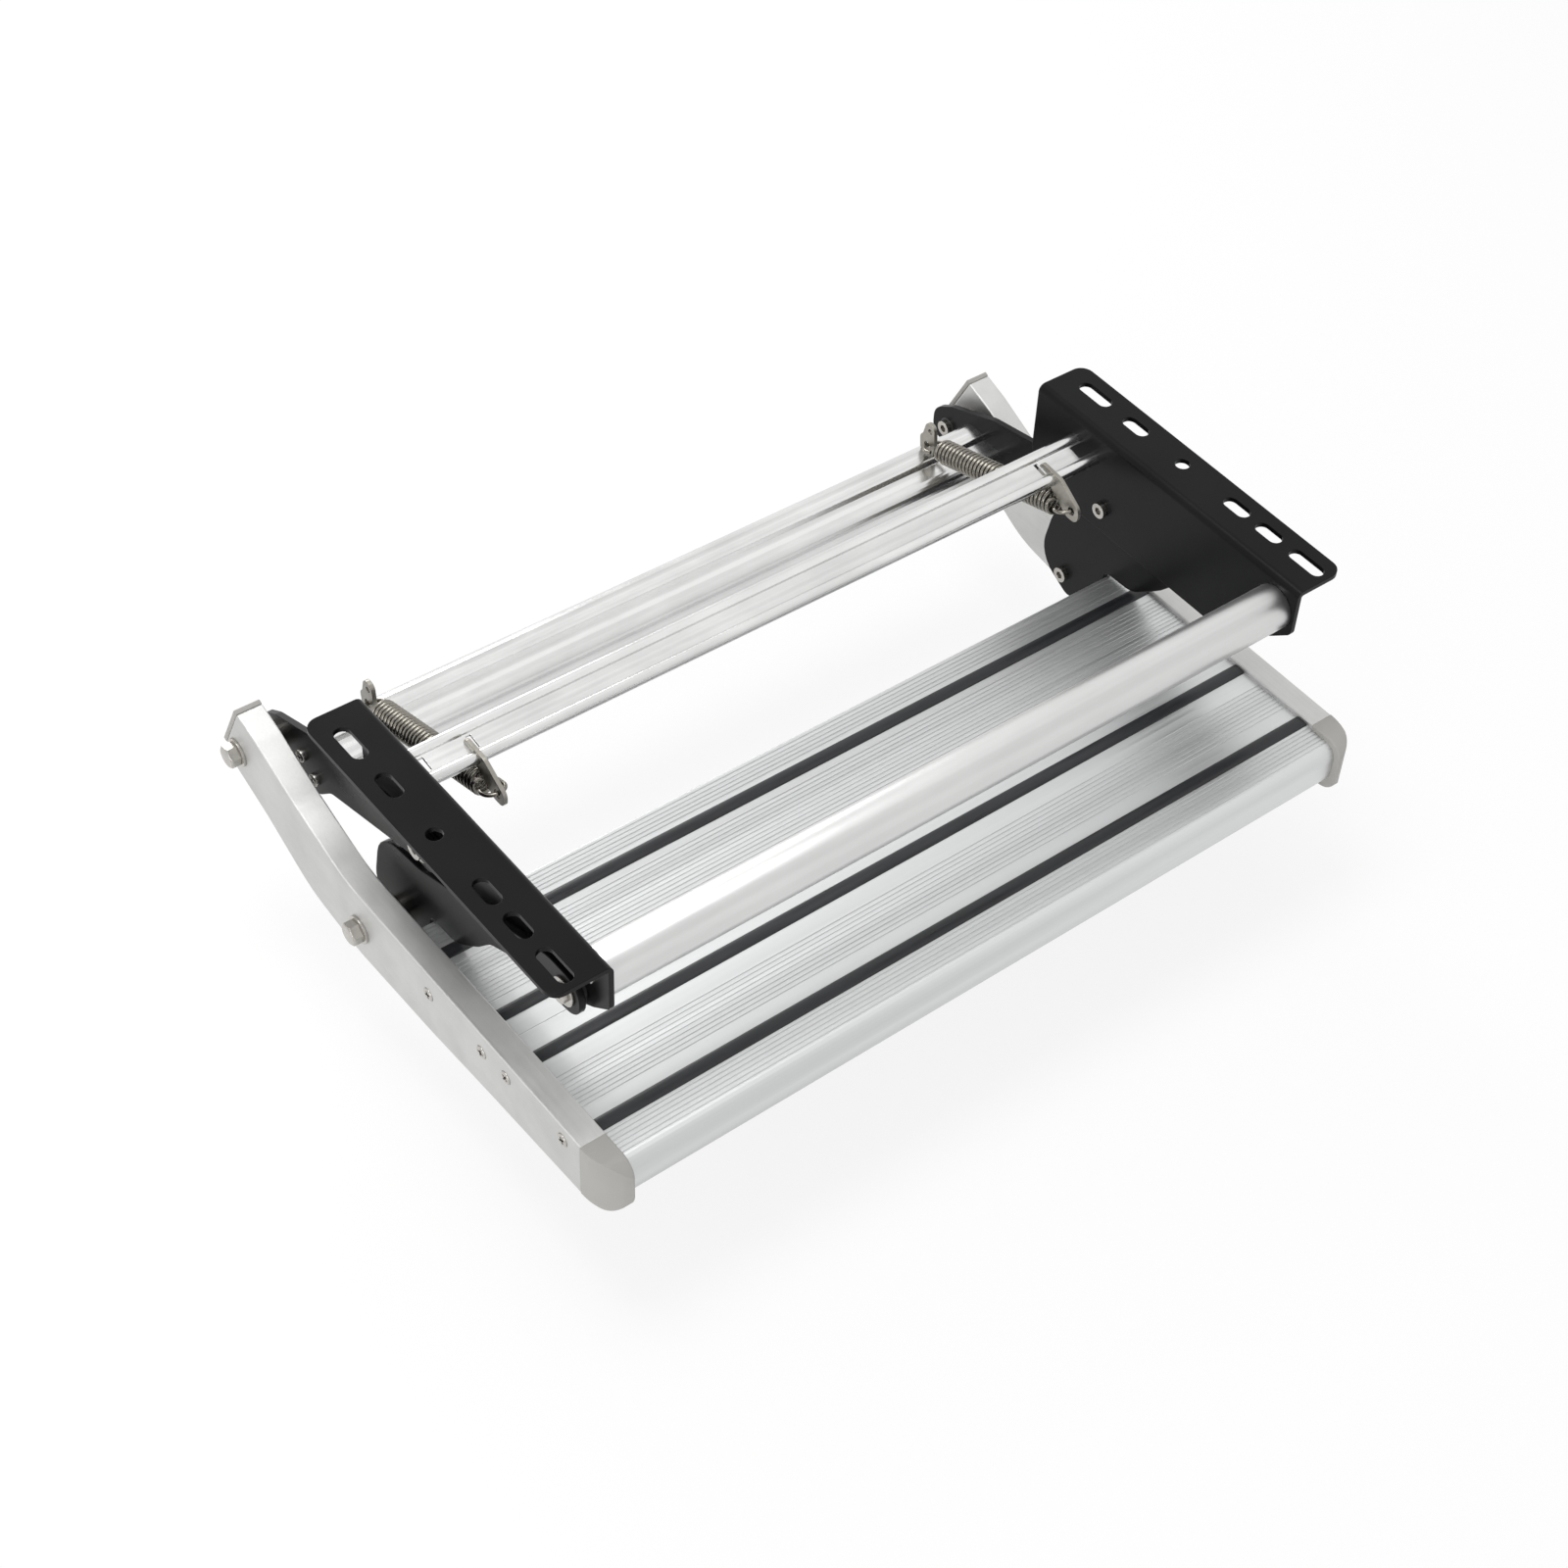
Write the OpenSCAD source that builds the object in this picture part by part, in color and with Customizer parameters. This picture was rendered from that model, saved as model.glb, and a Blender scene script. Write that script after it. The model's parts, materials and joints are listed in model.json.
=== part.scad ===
// Pull out entry step for a caravan, drawn stowed.
// X runs to the right seen from in front, Y towards the vehicle, Z up.
// The origin lies on top of the mounting flanges, midway between them, at the round holes.
// Points of a side view are written as [y, z], corners of an outline as [y, z, radius].

/* [Mounting holes] */
// Distance between the two columns of mounting holes
hole_spacing = 500; // [460:5:600]
// Distance from a column of holes to the outer edge of its flange
hole_inset = 13; // [11:0.5:16]
// Width of the slots and diameter of the round hole
slot_w = 9; // [7:0.5:10]
// Length of the first and last slot of a flange
long_slot = 25; // [20:1:28]
// Length of the three short slots
short_slot = 19; // [14:1:20]
// Distance of the rear long slot behind the round hole
slot_1 = 76; // [70:1:82]
// Distance of the rear short slot behind the round hole
slot_2 = 40.5; // [34:0.5:46]
// Distance of the first front short slot ahead of the round hole
slot_4 = 46; // [40:0.5:48]
// Distance of the second front short slot ahead of the round hole
slot_5 = 72.5; // [70:0.5:76]
// Distance of the front long slot ahead of the round hole
slot_6 = 103; // [100:0.5:105]

/* [Brackets] */
// Thickness of the bracket steel
bracket_t = 3; // [2:0.5:4]
// Width of the mounting flange
flange_w = 35; // [32:1:42]
// Reach of the flange ahead of the round hole
flange_front = 119.5; // [118:0.5:126]
// Reach of the flange behind the round hole
flange_rear = 101.5; // [98:0.5:110]
// Radius of the flange's outer corners
flange_corner = 8; // [3:1:12]
// Depth of the hanging web below the flange top
web_drop = 66; // [64:1:70]

/* [Linkage] */
// Distance of the rear links' upper pivot behind the round hole
rear_pivot_y = 37; // [34:0.5:40]
// Depth of the rear links' upper pivot below the flange top
rear_pivot_z = 50; // [48:0.5:52]
// Distance of the front links' upper pivot ahead of the round hole
front_pivot_y = 92; // [90:0.5:94]
// Depth of the front links' upper pivot below the flange top
front_pivot_z = 38; // [37:0.5:40]
// Distance of the rear links' pivot on the arms behind the round hole
arm_pivot_y = 184; // [182:0.5:186]
// Depth of the rear links' pivot on the arms below the flange top
arm_pivot_z = 90; // [89:0.5:91]
// Distance of the front links' pivot on the arms behind the round hole
support_pivot_y = 67; // [65:0.5:68]
// Depth of the front links' pivot on the arms below the flange top
support_pivot_z = 126; // [125:0.5:128]
// Thickness of the links
link_t = 4; // [3:0.5:5]
// Gap between web and link, filled by the bush flange
link_gap = 3; // [2.5:0.5:4]
// Radius of the links' round ends
lobe_r = 12.5; // [11:0.5:13]

/* [Pivots] */
// Diameter of the pivot bolts
bolt_d = 8; // [6:0.5:9]
// Outer diameter of the bushes that the links turn on
bush_d = 12; // [11:0.5:13]
// Radial clearance between a bush and its link
bush_clearance = 0.05; // [0.02:0.01:0.08]
// Play of a link along its pivot, on each side
side_play = 0.1; // [0.1:0.05:0.2]
// Size across flats of the hexagon heads
hex_af = 12; // [11:0.5:14]
// Height of the hexagon heads
hex_h = 6; // [4:0.5:8]

/* [Step] */
// Gap between link and side arm, filled by the spacer
arm_gap = 7.5; // [6:0.5:9]
// Width of a side arm
arm_w = 15.5; // [13:0.5:18]
// Depth of the tread surface below the flange top
tread_z = 102; // [102:0.5:103]
// Thickness of the tread planks
plank_h = 28; // [26:1:30]
// Wall thickness of the tread planks
plank_wall = 2.2; // [1.8:0.2:3]
// Reach of the tread behind the round hole
tread_rear = 31.5; // [29:0.5:32]
// Distance of the joint between the planks ahead of the round hole
plank_joint = 58; // [56:0.5:60]
// Reach of the tread nose ahead of the round hole
tread_front = 156.5; // [155:0.5:165]
// Distance between the tread's ridges
ridge_pitch = 2.8; // [2.4:0.2:3.4]
// Depth of the grooves between the ridges
ridge_d = 0.4; // [0.3:0.1:0.8]
// Width of a rubber strip
strip_w = 8.6; // [7:0.2:10]
// Thickness of a rubber strip
strip_t = 3.2; // [2.8:0.2:4]
// Thickness of the plates that close the arms' rear ends
end_plate_t = 3; // [2:0.5:4]

/* [Bars] */
// Diameter of the front tube
tube_d = 27; // [24:0.5:29]
// Wall thickness of the front tube and the tie bar
bar_wall = 2; // [1.6:0.2:3]
// Distance of the front tube's axis ahead of the round hole
tube_y = 104; // [102:0.5:105]
// Depth of the front tube's axis below the flange top
tube_z = 20; // [18:0.5:21]
// Diameter of the two rods of the rear crossbar
rod_d = 7; // [6:0.5:8]
// Thickness of the web between the two rods
rod_web = 1.6; // [1.2:0.2:2.4]

/* [Springs] */
// Diameter of the spring wire
wire_d = 2.4; // [2:0.1:2.6]
// Outer diameter of the spring
spring_d = 15.5; // [14:0.5:16.5]
// Number of turns of a spring
turns = 31; // [29:2:33]
// Distance of each spring from the middle of the step
spring_x = 195; // [180:1:200]
// Distance from the last turn to the inside of a hook
hook_l = 15.5; // [15:0.5:17]
// Thickness of the hangers and eye plates
plate_t = 2.5; // [2:0.5:3]

/* [Hidden] */
// Positions along X, from the middle outwards
web_in = hole_spacing / 2 + hole_inset - flange_w;
web_out = web_in + bracket_t;
link_in = web_out + link_gap;
link_out = link_in + link_t;
arm_in = link_out + arm_gap;
arm_out = arm_in + arm_w;

// Pivots in the side view
rear_pivot = [rear_pivot_y, -rear_pivot_z];
front_pivot = [-front_pivot_y, -front_pivot_z];
arm_pivot = [arm_pivot_y, -arm_pivot_z];
support_pivot = [support_pivot_y, -support_pivot_z];

// The step is level again where the support pivot, mirrored in the line from the shifted rear
// pivot to the front pivot, ends its swing.
shifted_pivot = support_pivot + rear_pivot - arm_pivot;
rear_arm = arm_pivot - rear_pivot;
front_arm = support_pivot - front_pivot;
swing_axis = unit(front_pivot - shifted_pivot);
rear_arm_out = 2 * (rear_arm * swing_axis) * swing_axis - rear_arm;
front_arm_out = rear_arm_out + shifted_pivot - front_pivot;
rear_swing = (heading(rear_arm) - heading(rear_arm_out) + 360) % 360;
front_swing = (heading(front_arm) - heading(front_arm_out) + 360) % 360;
echo(rear_swing = rear_swing, front_swing = front_swing, ratio = front_swing / rear_swing);

// Springs: the rear hook rides on the tie bar, and the front hook lies on the ray from the rear
// pivot that gives the same length at both ends of the swing.
hook_reach = 120;
hook_drop = 18;
hook_rear = rear_pivot + [hook_reach, -hook_drop];
hanger_r = 22;
hanger_angle = heading(hook_rear - rear_pivot) - rear_swing / 2 + 180;
hook_front = rear_pivot + hanger_r * [cos(hanger_angle), sin(hanger_angle)];
hook_rear_out = rear_pivot + turned(hook_rear - rear_pivot, -rear_swing);
spring_l = norm(hook_rear - hook_front);
spring_swing = heading(hook_rear - hook_front) - heading(hook_rear_out - hook_front);
echo(hook_front = hook_front, spring_l = spring_l, spring_ratio = spring_swing / rear_swing);

// Clearance between pieces that are clamped together
fit = 0.05;
// Bores for the bolts
bolt_r = bolt_d / 2;
bore_r = bolt_r + fit;
bush_r = bush_d / 2;
washer_t = 1.5;
washer_r = bolt_d + 0.5;
ring_r = 4.9;
ring_h = 3.5;
socket_r = 2.5;
socket_floor = 0.5;
button_r = 5.5;
button_h = 2.7;
button_socket = 1.6;
open_gap = 0.3;

// Cross-recess screws
screw_r = 2;
head_r = 3.6;
head_h = 2.2;
screw_l = 20;
port_r = 4.2;
sink_h = 2.2;
recess_w = 0.9;
recess_l = 4.2;
recess_d = 1.2;

// Front tube
tube_axis = [-tube_y, -tube_z];
tube_grooves = 36;
groove_w = 1;
groove_d = 0.5;

// Rear crossbar, with a notch beside each hanger and a wider one at each end
rod_rear = [66, -16];
rod_front = [48, -19];
notch_w = 3;
end_notch = 9;
notch_half = 4.5;

// Tie bar: a rounded box with a raised band, and its two screws
tie_front = arm_pivot_y - 52.5;
tie_rear = arm_pivot_y - 16;
tie_top = -arm_pivot_z + 17;
tie_step = tie_top - 3;
tie_bottom = -arm_pivot_z - 9;
tie_band = arm_pivot_y - 35;
tie_screws = [arm_pivot + [-28, 7.5], arm_pivot + [-40, -1]];

// Tread
tread_top = -tread_z;
tread_bottom = -tread_z - plank_h;
rear_screws = [[0, tread_top - 12.5], [-49, tread_top - 10.5]];
front_screws = [[-71, tread_top - 8.5], [-121, tread_top - 6.5]];
strip_proud = 1.2;
ridge_w = 1;
nose_r = 8;
strips = [9, -42, -75, -128];

// Arm outline, from the joint with the front cap back along the top and home along the bottom
cap_joint = -136;
cap_top = tread_top + 3;
cap_bottom = tread_top - 34.5;
cap_proud = 4.5;
cap_front = -tread_front - cap_proud;
arm_rear_top = arm_pivot + [-4.1, 31.2];
arm_rear_low = arm_pivot + [13.1, -3];
arm_outline = [
    [cap_joint, cap_top, 0],
    [arm_pivot_y - 106, cap_top, 70],
    [arm_pivot_y - 58, -arm_pivot_z + 8.5, 90],
    [arm_pivot_y - 21, -arm_pivot_z + 25.5, 60],
    [arm_rear_top.x, arm_rear_top.y, 1],
    [arm_rear_low.x, arm_rear_low.y, 2],
    [arm_pivot_y + 6, -arm_pivot_z - 15.5, 12],
    [arm_pivot_y - 24, -arm_pivot_z - 28.5, 60],
    [arm_pivot_y - 66, -support_pivot_z - 15.5, 70],
    [support_pivot_y + 5, -support_pivot_z - 22, 100],
    [0, cap_bottom - 9, 200],
    [-60, cap_bottom - 4.5, 200],
    [cap_joint, cap_bottom, 0]];
// Side view of the nose cap
cap_outline = [
    [cap_joint, cap_top, 0],
    [cap_front, cap_top, 11],
    [cap_front, cap_bottom, 15],
    [cap_joint, cap_bottom, 0]];

function unit(v) = v / norm(v);
function heading(v) = atan2(v.y, v.x);
function turned(v, a) = [v.x * cos(a) - v.y * sin(a), v.x * sin(a) + v.y * cos(a)];
// Angle a brought between -180 and 180
function wrapped(a) = (a + 540) % 360 - 180;
function flat(lists) = [for (l = lists) for (p = l) p];
// Outline corner at an offset from point c, rounded by radius r
function at(c, dy, dz, r) = [c.x + dy, c.y + dz, r];

// Arc that rounds the corner p = [y, z, radius] between its neighbours a and b
function corner(a, p, b, n) =
    let (c = [p.x, p.y],
         to_a = [a.x, a.y] - c,
         to_b = [b.x, b.y] - c,
         u = unit(to_a),
         v = unit(to_b),
         half = acos(u * v) / 2,
         run = min(p.z / tan(half), 0.48 * min(norm(to_a), norm(to_b))),
         r = run * tan(half),
         m = c + unit(u + v) * r / sin(half),
         start = heading(c + u * run - m),
         turn = wrapped(heading(c + v * run - m) - start))
    [for (i = [0:n]) m + r * [cos(start + turn * i / n), sin(start + turn * i / n)]];

// Outline through corners, each rounded by its own radius
function rounded(p, n = 6) =
    let (last = len(p) - 1)
    flat([for (i = [0:last])
        p[i].z > 0 ? corner(p[i == 0 ? last : i - 1], p[i], p[i == last ? 0 : i + 1], n)
                   : [[p[i].x, p[i].y]]]);

module along_x(from, to) {
    translate([from, 0, 0]) rotate([90, 0, 90]) linear_extrude(to - from) children();
}

module rod(p, r, from, to) {
    translate([from, p.x, p.y]) rotate([0, 90, 0]) cylinder(h = to - from, r = r, $fn = 48);
}

module left() {
    mirror([1, 0, 0]) children();
}

module both_sides() {
    children();
    left() children();
}

module disc(p, r) {
    translate(p) circle(r = r, $fn = 48);
}

module block(y0, z0, y1, z1) {
    translate([y0, z0]) square([y1 - y0, z1 - z0]);
}

// Mounting slot of length l at distance y along the flange
module slot(y, l) {
    x = hole_spacing / 2;
    reach = (l - slot_w) / 2;
    for (end = [-reach, reach])
        translate([x, y + end, -bracket_t - 1]) cylinder(h = bracket_t + 2, d = slot_w, $fn = 48);
    translate([x - slot_w / 2, y - reach, -bracket_t - 1]) cube([slot_w, 2 * reach, bracket_t + 2]);
}

module bracket() {
    bend_in = 1.5;
    bend_out = bend_in + bracket_t;
    flange_out = web_in + flange_w;
    web_outline = [
        [-flange_front, 0, 0], [flange_rear, 0, 0], [flange_rear, -47, 6],
        [79, -web_drop, 10], [-68, -web_drop, 30], [-106, -42, 30],
        [-flange_front, -31, 5]];
    flange_outline = [
        [web_in, -flange_front, 0], [flange_out, -flange_front, flange_corner],
        [flange_out, flange_rear, flange_corner], [web_in, flange_rear, 0]];
    color("#1c1c1e") difference() {
        intersection() {
            // Folded section, drawn from above in the x-z plane and run along y
            translate([0, flange_rear, 0]) rotate([90, 0, 0]) linear_extrude(flange_rear + flange_front)
                polygon(rounded([
                    [web_in, 0, bend_out], [flange_out, 0, 0], [flange_out, -bracket_t, 0],
                    [web_out, -bracket_t, bend_in], [web_out, -web_drop - 1, 0],
                    [web_in, -web_drop - 1, 0]]));
            union() {
                along_x(web_in, web_out + bend_in + 1) polygon(rounded(web_outline));
                translate([0, 0, -bend_out - 1]) linear_extrude(bend_out + 1)
                    polygon(rounded(flange_outline));
            }
        }
        slot(slot_1, long_slot);
        slot(slot_2, short_slot);
        slot(-slot_4, short_slot);
        slot(-slot_5, short_slot);
        slot(-slot_6, long_slot);
        translate([hole_spacing / 2, 0, -bracket_t - 1])
            cylinder(h = bracket_t + 2, d = slot_w, $fn = 48);
        for (p = [rear_pivot, front_pivot]) rod(p, bore_r, web_in - 1, web_out + 1);
        for (p = [tube_axis, rod_rear, rod_front]) rod(p, screw_r + fit, web_in - 1, web_out + 1);
    }
}

module front_tube() {
    color("#d5d7da") difference() {
        along_x(-web_in, web_in) translate(tube_axis) difference() {
            circle(d = tube_d, $fn = 96);
            difference() {
                circle(r = tube_d / 2 - bar_wall, $fn = 96);
                circle(r = port_r, $fn = 48);
                for (a = [90, 210, 330]) rotate(a) block(0, -bar_wall / 2, tube_d / 2, bar_wall / 2);
            }
            for (i = [0:tube_grooves - 1]) rotate((i + 0.5) * 360 / tube_grooves)
                block(tube_d / 2 - groove_d, -groove_w / 2, tube_d, groove_w / 2);
        }
        both_sides() rod(tube_axis, screw_r, web_in - screw_l, web_in + 1);
    }
}

module crossbar_section(extra = 0) {
    span = rod_rear - rod_front;
    disc(rod_rear, rod_d / 2 + extra);
    disc(rod_front, rod_d / 2 + extra);
    translate(rod_front) rotate(heading(span))
        block(0, -rod_web / 2 - extra, norm(span), rod_web / 2 + extra);
}

module rear_crossbar() {
    span = rod_rear - rod_front;
    middle = rod_front + span / 2;
    color("#d5d7da") difference() {
        along_x(-web_in, web_in) crossbar_section();
        both_sides() {
            for (p = [rod_rear, rod_front]) rod(p, screw_r, web_in - screw_l, web_in + 1);
            for (cut = [[spring_x - plate_t / 2 - notch_w, spring_x - plate_t / 2],
                        [web_in - end_notch, web_in + 1]])
                along_x(cut[0], cut[1]) translate(middle) rotate(heading(span))
                    block(-notch_half, -rod_web, notch_half, rod_web);
        }
    }
}

module spring_hanger() {
    outline = [
        at(hook_front, -6, 3.5, 6), at(rod_front, -7, 4.6, 6), at(rod_front, 10, 6, 3),
        at(rod_front, 13, -2.4, 3), at(rod_front, 1, -4.8, 5), at(hook_front, 3.5, -6.3, 6),
        at(hook_front, -6, -6.3, 6)];
    color("#a9a7a0") difference() {
        along_x(spring_x - plate_t / 2, spring_x + plate_t / 2) difference() {
            polygon(rounded(outline));
            crossbar_section(fit);
        }
        rod(hook_front, wire_d / 2 + 1.5, spring_x - plate_t, spring_x + plate_t);
    }
}

// Round ring with a hexagon socket at a pivot's inner end
module ring_nut(p, face) {
    difference() {
        rod(p, ring_r, face - ring_h, face);
        translate([face - ring_h - 1, p.x, p.y]) rotate([0, 90, 0])
            cylinder(h = ring_h + 1 - socket_floor, r = socket_r, $fn = 6);
    }
}

module frame_bolt(p) {
    head = link_out + side_play + washer_t;
    difference() {
        union() {
            rod(p, bolt_r, web_in, head + 0.1);
            rod(p, button_r, head, head + button_h);
        }
        translate([head + button_h - button_socket, p.x, p.y]) rotate([0, 90, 0])
            cylinder(h = button_h, r = socket_r, $fn = 6);
    }
}

module frame_bush(p) {
    difference() {
        union() {
            rod(p, washer_r + 0.5, web_out, link_in - side_play);
            rod(p, bush_r, link_in - side_play - 0.1, link_out + side_play);
        }
        rod(p, bore_r, web_out - 1, link_out + 1);
    }
}

module washer(p, from) {
    difference() {
        rod(p, washer_r, from, from + washer_t);
        rod(p, bore_r, from - 1, from + washer_t + 1);
    }
}

// Cross cut in a screw head whose outer face is at x
module cross_recess(p, x) {
    for (a = [45, 135]) translate([x, p.x, p.y]) rotate([a, 0, 0])
        cube([2 * recess_d, recess_l, recess_w], center = true);
}

// Pan head screw driven inwards from the face at x
module pan_screw(p, x) {
    difference() {
        union() {
            rod(p, screw_r - fit, x - screw_l, x + 0.1);
            translate([x, p.x, p.y]) rotate([0, 90, 0])
                cylinder(h = head_h, r1 = head_r, r2 = head_r - 1, $fn = 48);
        }
        cross_recess(p, x + head_h);
    }
}

module rear_link() {
    outline = [
        at(rear_pivot, -lobe_r, lobe_r, lobe_r), at(rear_pivot, 7, lobe_r, 20),
        at(arm_pivot, -40, 32, 30), at(arm_pivot, -2, 17, 20), at(arm_pivot, 13.4, 7, 12),
        at(arm_pivot, 13.4, -13.4, 13), at(arm_pivot, -24, -13.4, 14),
        at(arm_pivot, -43, -10.5, 10), at(arm_pivot, -56, 1.5, 14),
        at(rear_pivot, 4, -lobe_r, 20), at(rear_pivot, -lobe_r, -lobe_r, lobe_r)];
    color("#1c1c1e") difference() {
        along_x(link_in, link_out) polygon(rounded(outline));
        for (p = [rear_pivot, arm_pivot]) rod(p, bush_r + bush_clearance, link_in - 1, link_out + 1);
        for (p = tie_screws) rod(p, screw_r + fit, link_in - 1, link_out + 1);
    }
}

module front_link() {
    tread_gap = tread_top + strip_proud + 1;
    outline = [
        at(front_pivot, -lobe_r, lobe_r, lobe_r), at(front_pivot, 14, lobe_r, 30),
        at(rear_pivot, 3, -19.8, 30), at(support_pivot, 12.7, 51, 34.5),
        at(support_pivot, 22.9, 0.6, 34.5), at(support_pivot, -7, -15.5, 8),
        [tread_rear + 3.2, support_pivot.y + 9, 5], [tread_rear + 1.2, tread_gap, 4],
        [9, tread_gap + 1.2, 20], [-5, tread_gap + 12, 30], [-13.5, tread_gap + 19.5, 4],
        [-25, tread_gap + 32.5, 20], [-46, tread_gap + 42.5, 40],
        at(front_pivot, -lobe_r, -lobe_r, lobe_r)];
    color("#1c1c1e") difference() {
        along_x(link_in, link_out) polygon(rounded(outline));
        rod(front_pivot, bush_r + bush_clearance, link_in - 1, link_out + 1);
        rod(support_pivot, bore_r, link_in - 1, link_out + 1);
    }
}

module tie_section() {
    polygon(rounded([
        [tie_front, tie_step, 7], [tie_band - 1, tie_step, 0.5], [tie_band + 1, tie_top, 1.5],
        [tie_rear, tie_top, 8], [tie_rear, tie_bottom, 9], [tie_front, tie_bottom, 9]]));
}

module tie_bar() {
    w = bar_wall;
    color("#d5d7da") difference() {
        along_x(-link_in, link_in) difference() {
            tie_section();
            difference() {
                polygon(rounded([
                    [tie_front + w, tie_step - w, 5], [tie_rear - w, tie_step - w, 5],
                    [tie_rear - w, tie_bottom + w, 7], [tie_front + w, tie_bottom + w, 7]]));
                for (p = tie_screws) {
                    disc(p, port_r);
                    block(p.x - w / 2, tie_bottom, p.x + w / 2, p.y);
                }
            }
        }
        both_sides() {
            for (p = tie_screws) rod(p, screw_r, link_in - screw_l, link_in + 1);
            eye_foot(fit);
        }
    }
}

// Foot of the eye plate, which sits in a slot in the top of the tie bar
module eye_foot(extra) {
    along_x(spring_x - plate_t / 2 - extra, spring_x + plate_t / 2 + extra)
        block(hook_rear.x - 5 - extra, tie_top - 2.6 - extra, hook_rear.x + 5 + extra, tie_top + 1);
}

module spring_eye() {
    outline = [
        at(hook_rear, -6.5, 3, 4), at(hook_rear, -5.5, 16.5, 4), at(hook_rear, 2, 17, 4),
        at(hook_rear, 4.5, 7, 3), at(hook_rear, 7, 4, 5), at(hook_rear, 6, -5, 1),
        at(hook_rear, -6, -5, 1)];
    color("#a9a7a0") {
        difference() {
            union() {
                along_x(spring_x - plate_t / 2, spring_x + plate_t / 2) polygon(rounded(outline));
                eye_foot(0);
            }
            rod(hook_rear, wire_d / 2 + 1.5, spring_x - plate_t, spring_x + plate_t);
            rod(hook_rear + [-1.8, 11.5], 1.8, spring_x - plate_t, spring_x + plate_t);
        }
    }
}

module front_link_pin() {
    rod(support_pivot, bolt_r, link_in - 0.1, link_out);
    ring_nut(support_pivot, link_in);
}

module side_arm() {
    color("#c9cbcb") difference() {
        along_x(arm_in, arm_out) polygon(rounded(arm_outline));
        for (p = [arm_pivot, support_pivot]) rod(p, bore_r, arm_in - 1, arm_out + 1);
        for (p = concat(rear_screws, front_screws)) {
            rod(p, screw_r + fit, arm_in - 1, arm_out + 1);
            translate([arm_out - sink_h, p.x, p.y]) rotate([0, 90, 0])
                cylinder(h = sink_h + 0.01, r1 = screw_r + fit, r2 = screw_r + fit + sink_h, $fn = 48);
        }
    }
}

module front_end_cap() {
    reach = cap_joint - cap_front;
    steps = 12;
    color("#a8a6a2") intersection() {
        along_x(arm_in, arm_out) polygon(rounded(cap_outline, 10));
        translate([0, 0, cap_bottom - 1]) linear_extrude(cap_top - cap_bottom + 2)
            polygon(concat([[arm_in, cap_joint]], [for (i = [0:steps]) let (a = i * 90 / steps)
                [arm_in + arm_w * cos(a), cap_joint - reach * sin(a)]]));
    }
}

module rear_end_cap() {
    run = unit(arm_rear_low - arm_rear_top);
    out = turned(run, 90) * end_plate_t;
    color("#9c9b98") along_x(arm_in, arm_out)
        polygon([arm_rear_top, arm_rear_top + out, arm_rear_low + out, arm_rear_low]);
}

// Screw with a countersunk head flush in the arm's outer face
module tread_screw(p) {
    difference() {
        union() {
            rod(p, screw_r - fit, arm_in - screw_l, arm_out - sink_h + 0.1);
            translate([arm_out - sink_h, p.x, p.y]) rotate([0, 90, 0])
                cylinder(h = sink_h, r1 = screw_r - fit, r2 = screw_r + sink_h - fit, $fn = 48);
        }
        cross_recess(p, arm_out);
    }
}

// Rubber strip centred at distance y, with a rounded top
module strip_section(y) {
    half = strip_w / 2;
    steps = 12;
    polygon(concat(
        [for (i = [0:steps]) let (a = i * 180 / steps)
            [y + half * cos(a), tread_top + strip_proud * sin(a)]],
        [[y - half, tread_top + strip_proud - strip_t],
         [y + half, tread_top + strip_proud - strip_t]]));
}

// Groove that a strip lies in
module strip_groove(y) {
    block(y - strip_w / 2 - fit, tread_top + strip_proud - strip_t,
          y + strip_w / 2 + fit, tread_top + 1);
}

module grip_strip(y) {
    color("#1d1f22") along_x(-arm_in, arm_in) strip_section(y);
}

// Grooves cut in the tread surface from distance a forwards to distance b
module ridges(a, b) {
    n = floor((a - b) / ridge_pitch);
    for (i = [0:n]) block(a - i * ridge_pitch - ridge_w, tread_top - ridge_d,
                          a - i * ridge_pitch, tread_top + 1);
}

// Hollow plank section: cells between ribs, with a port round each screw and a pad under each strip
module plank_section(outline, ribs, screws, strip_at) {
    w = plank_wall;
    difference() {
        polygon(rounded(outline));
        difference() {
            for (i = [0:len(ribs) - 2])
                block(ribs[i + 1] + w / 2, tread_bottom + w, ribs[i] - w / 2, tread_top - w - ridge_d);
            for (p = screws) disc(p, port_r);
            for (y = strip_at) block(y - strip_w / 2 - w, tread_top - strip_t - w,
                                     y + strip_w / 2 + w, tread_top);
        }
        for (y = strip_at) strip_groove(y);
    }
}

module tread_plank_rear() {
    w = plank_wall;
    color("#c6c8c8") difference() {
        along_x(-arm_in, arm_in) difference() {
            plank_section([
                [-plank_joint, tread_top, 0.6], [tread_rear, tread_top, 1.5],
                [tread_rear, tread_bottom, 1.5], [-plank_joint, tread_bottom, 0.6]],
                [tread_rear - w / 2, rear_screws[0].x, -25, rear_screws[1].x, -plank_joint + w / 2],
                rear_screws, [strips[0], strips[1]]);
            ridges(tread_rear - 3, strips[0] + strip_w / 2 + 3);
            ridges(strips[0] - strip_w / 2 - 5, strips[1] + strip_w / 2 + 6);
        }
        both_sides() for (p = rear_screws) rod(p, screw_r, arm_in - screw_l, arm_in + 1);
    }
}

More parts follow.
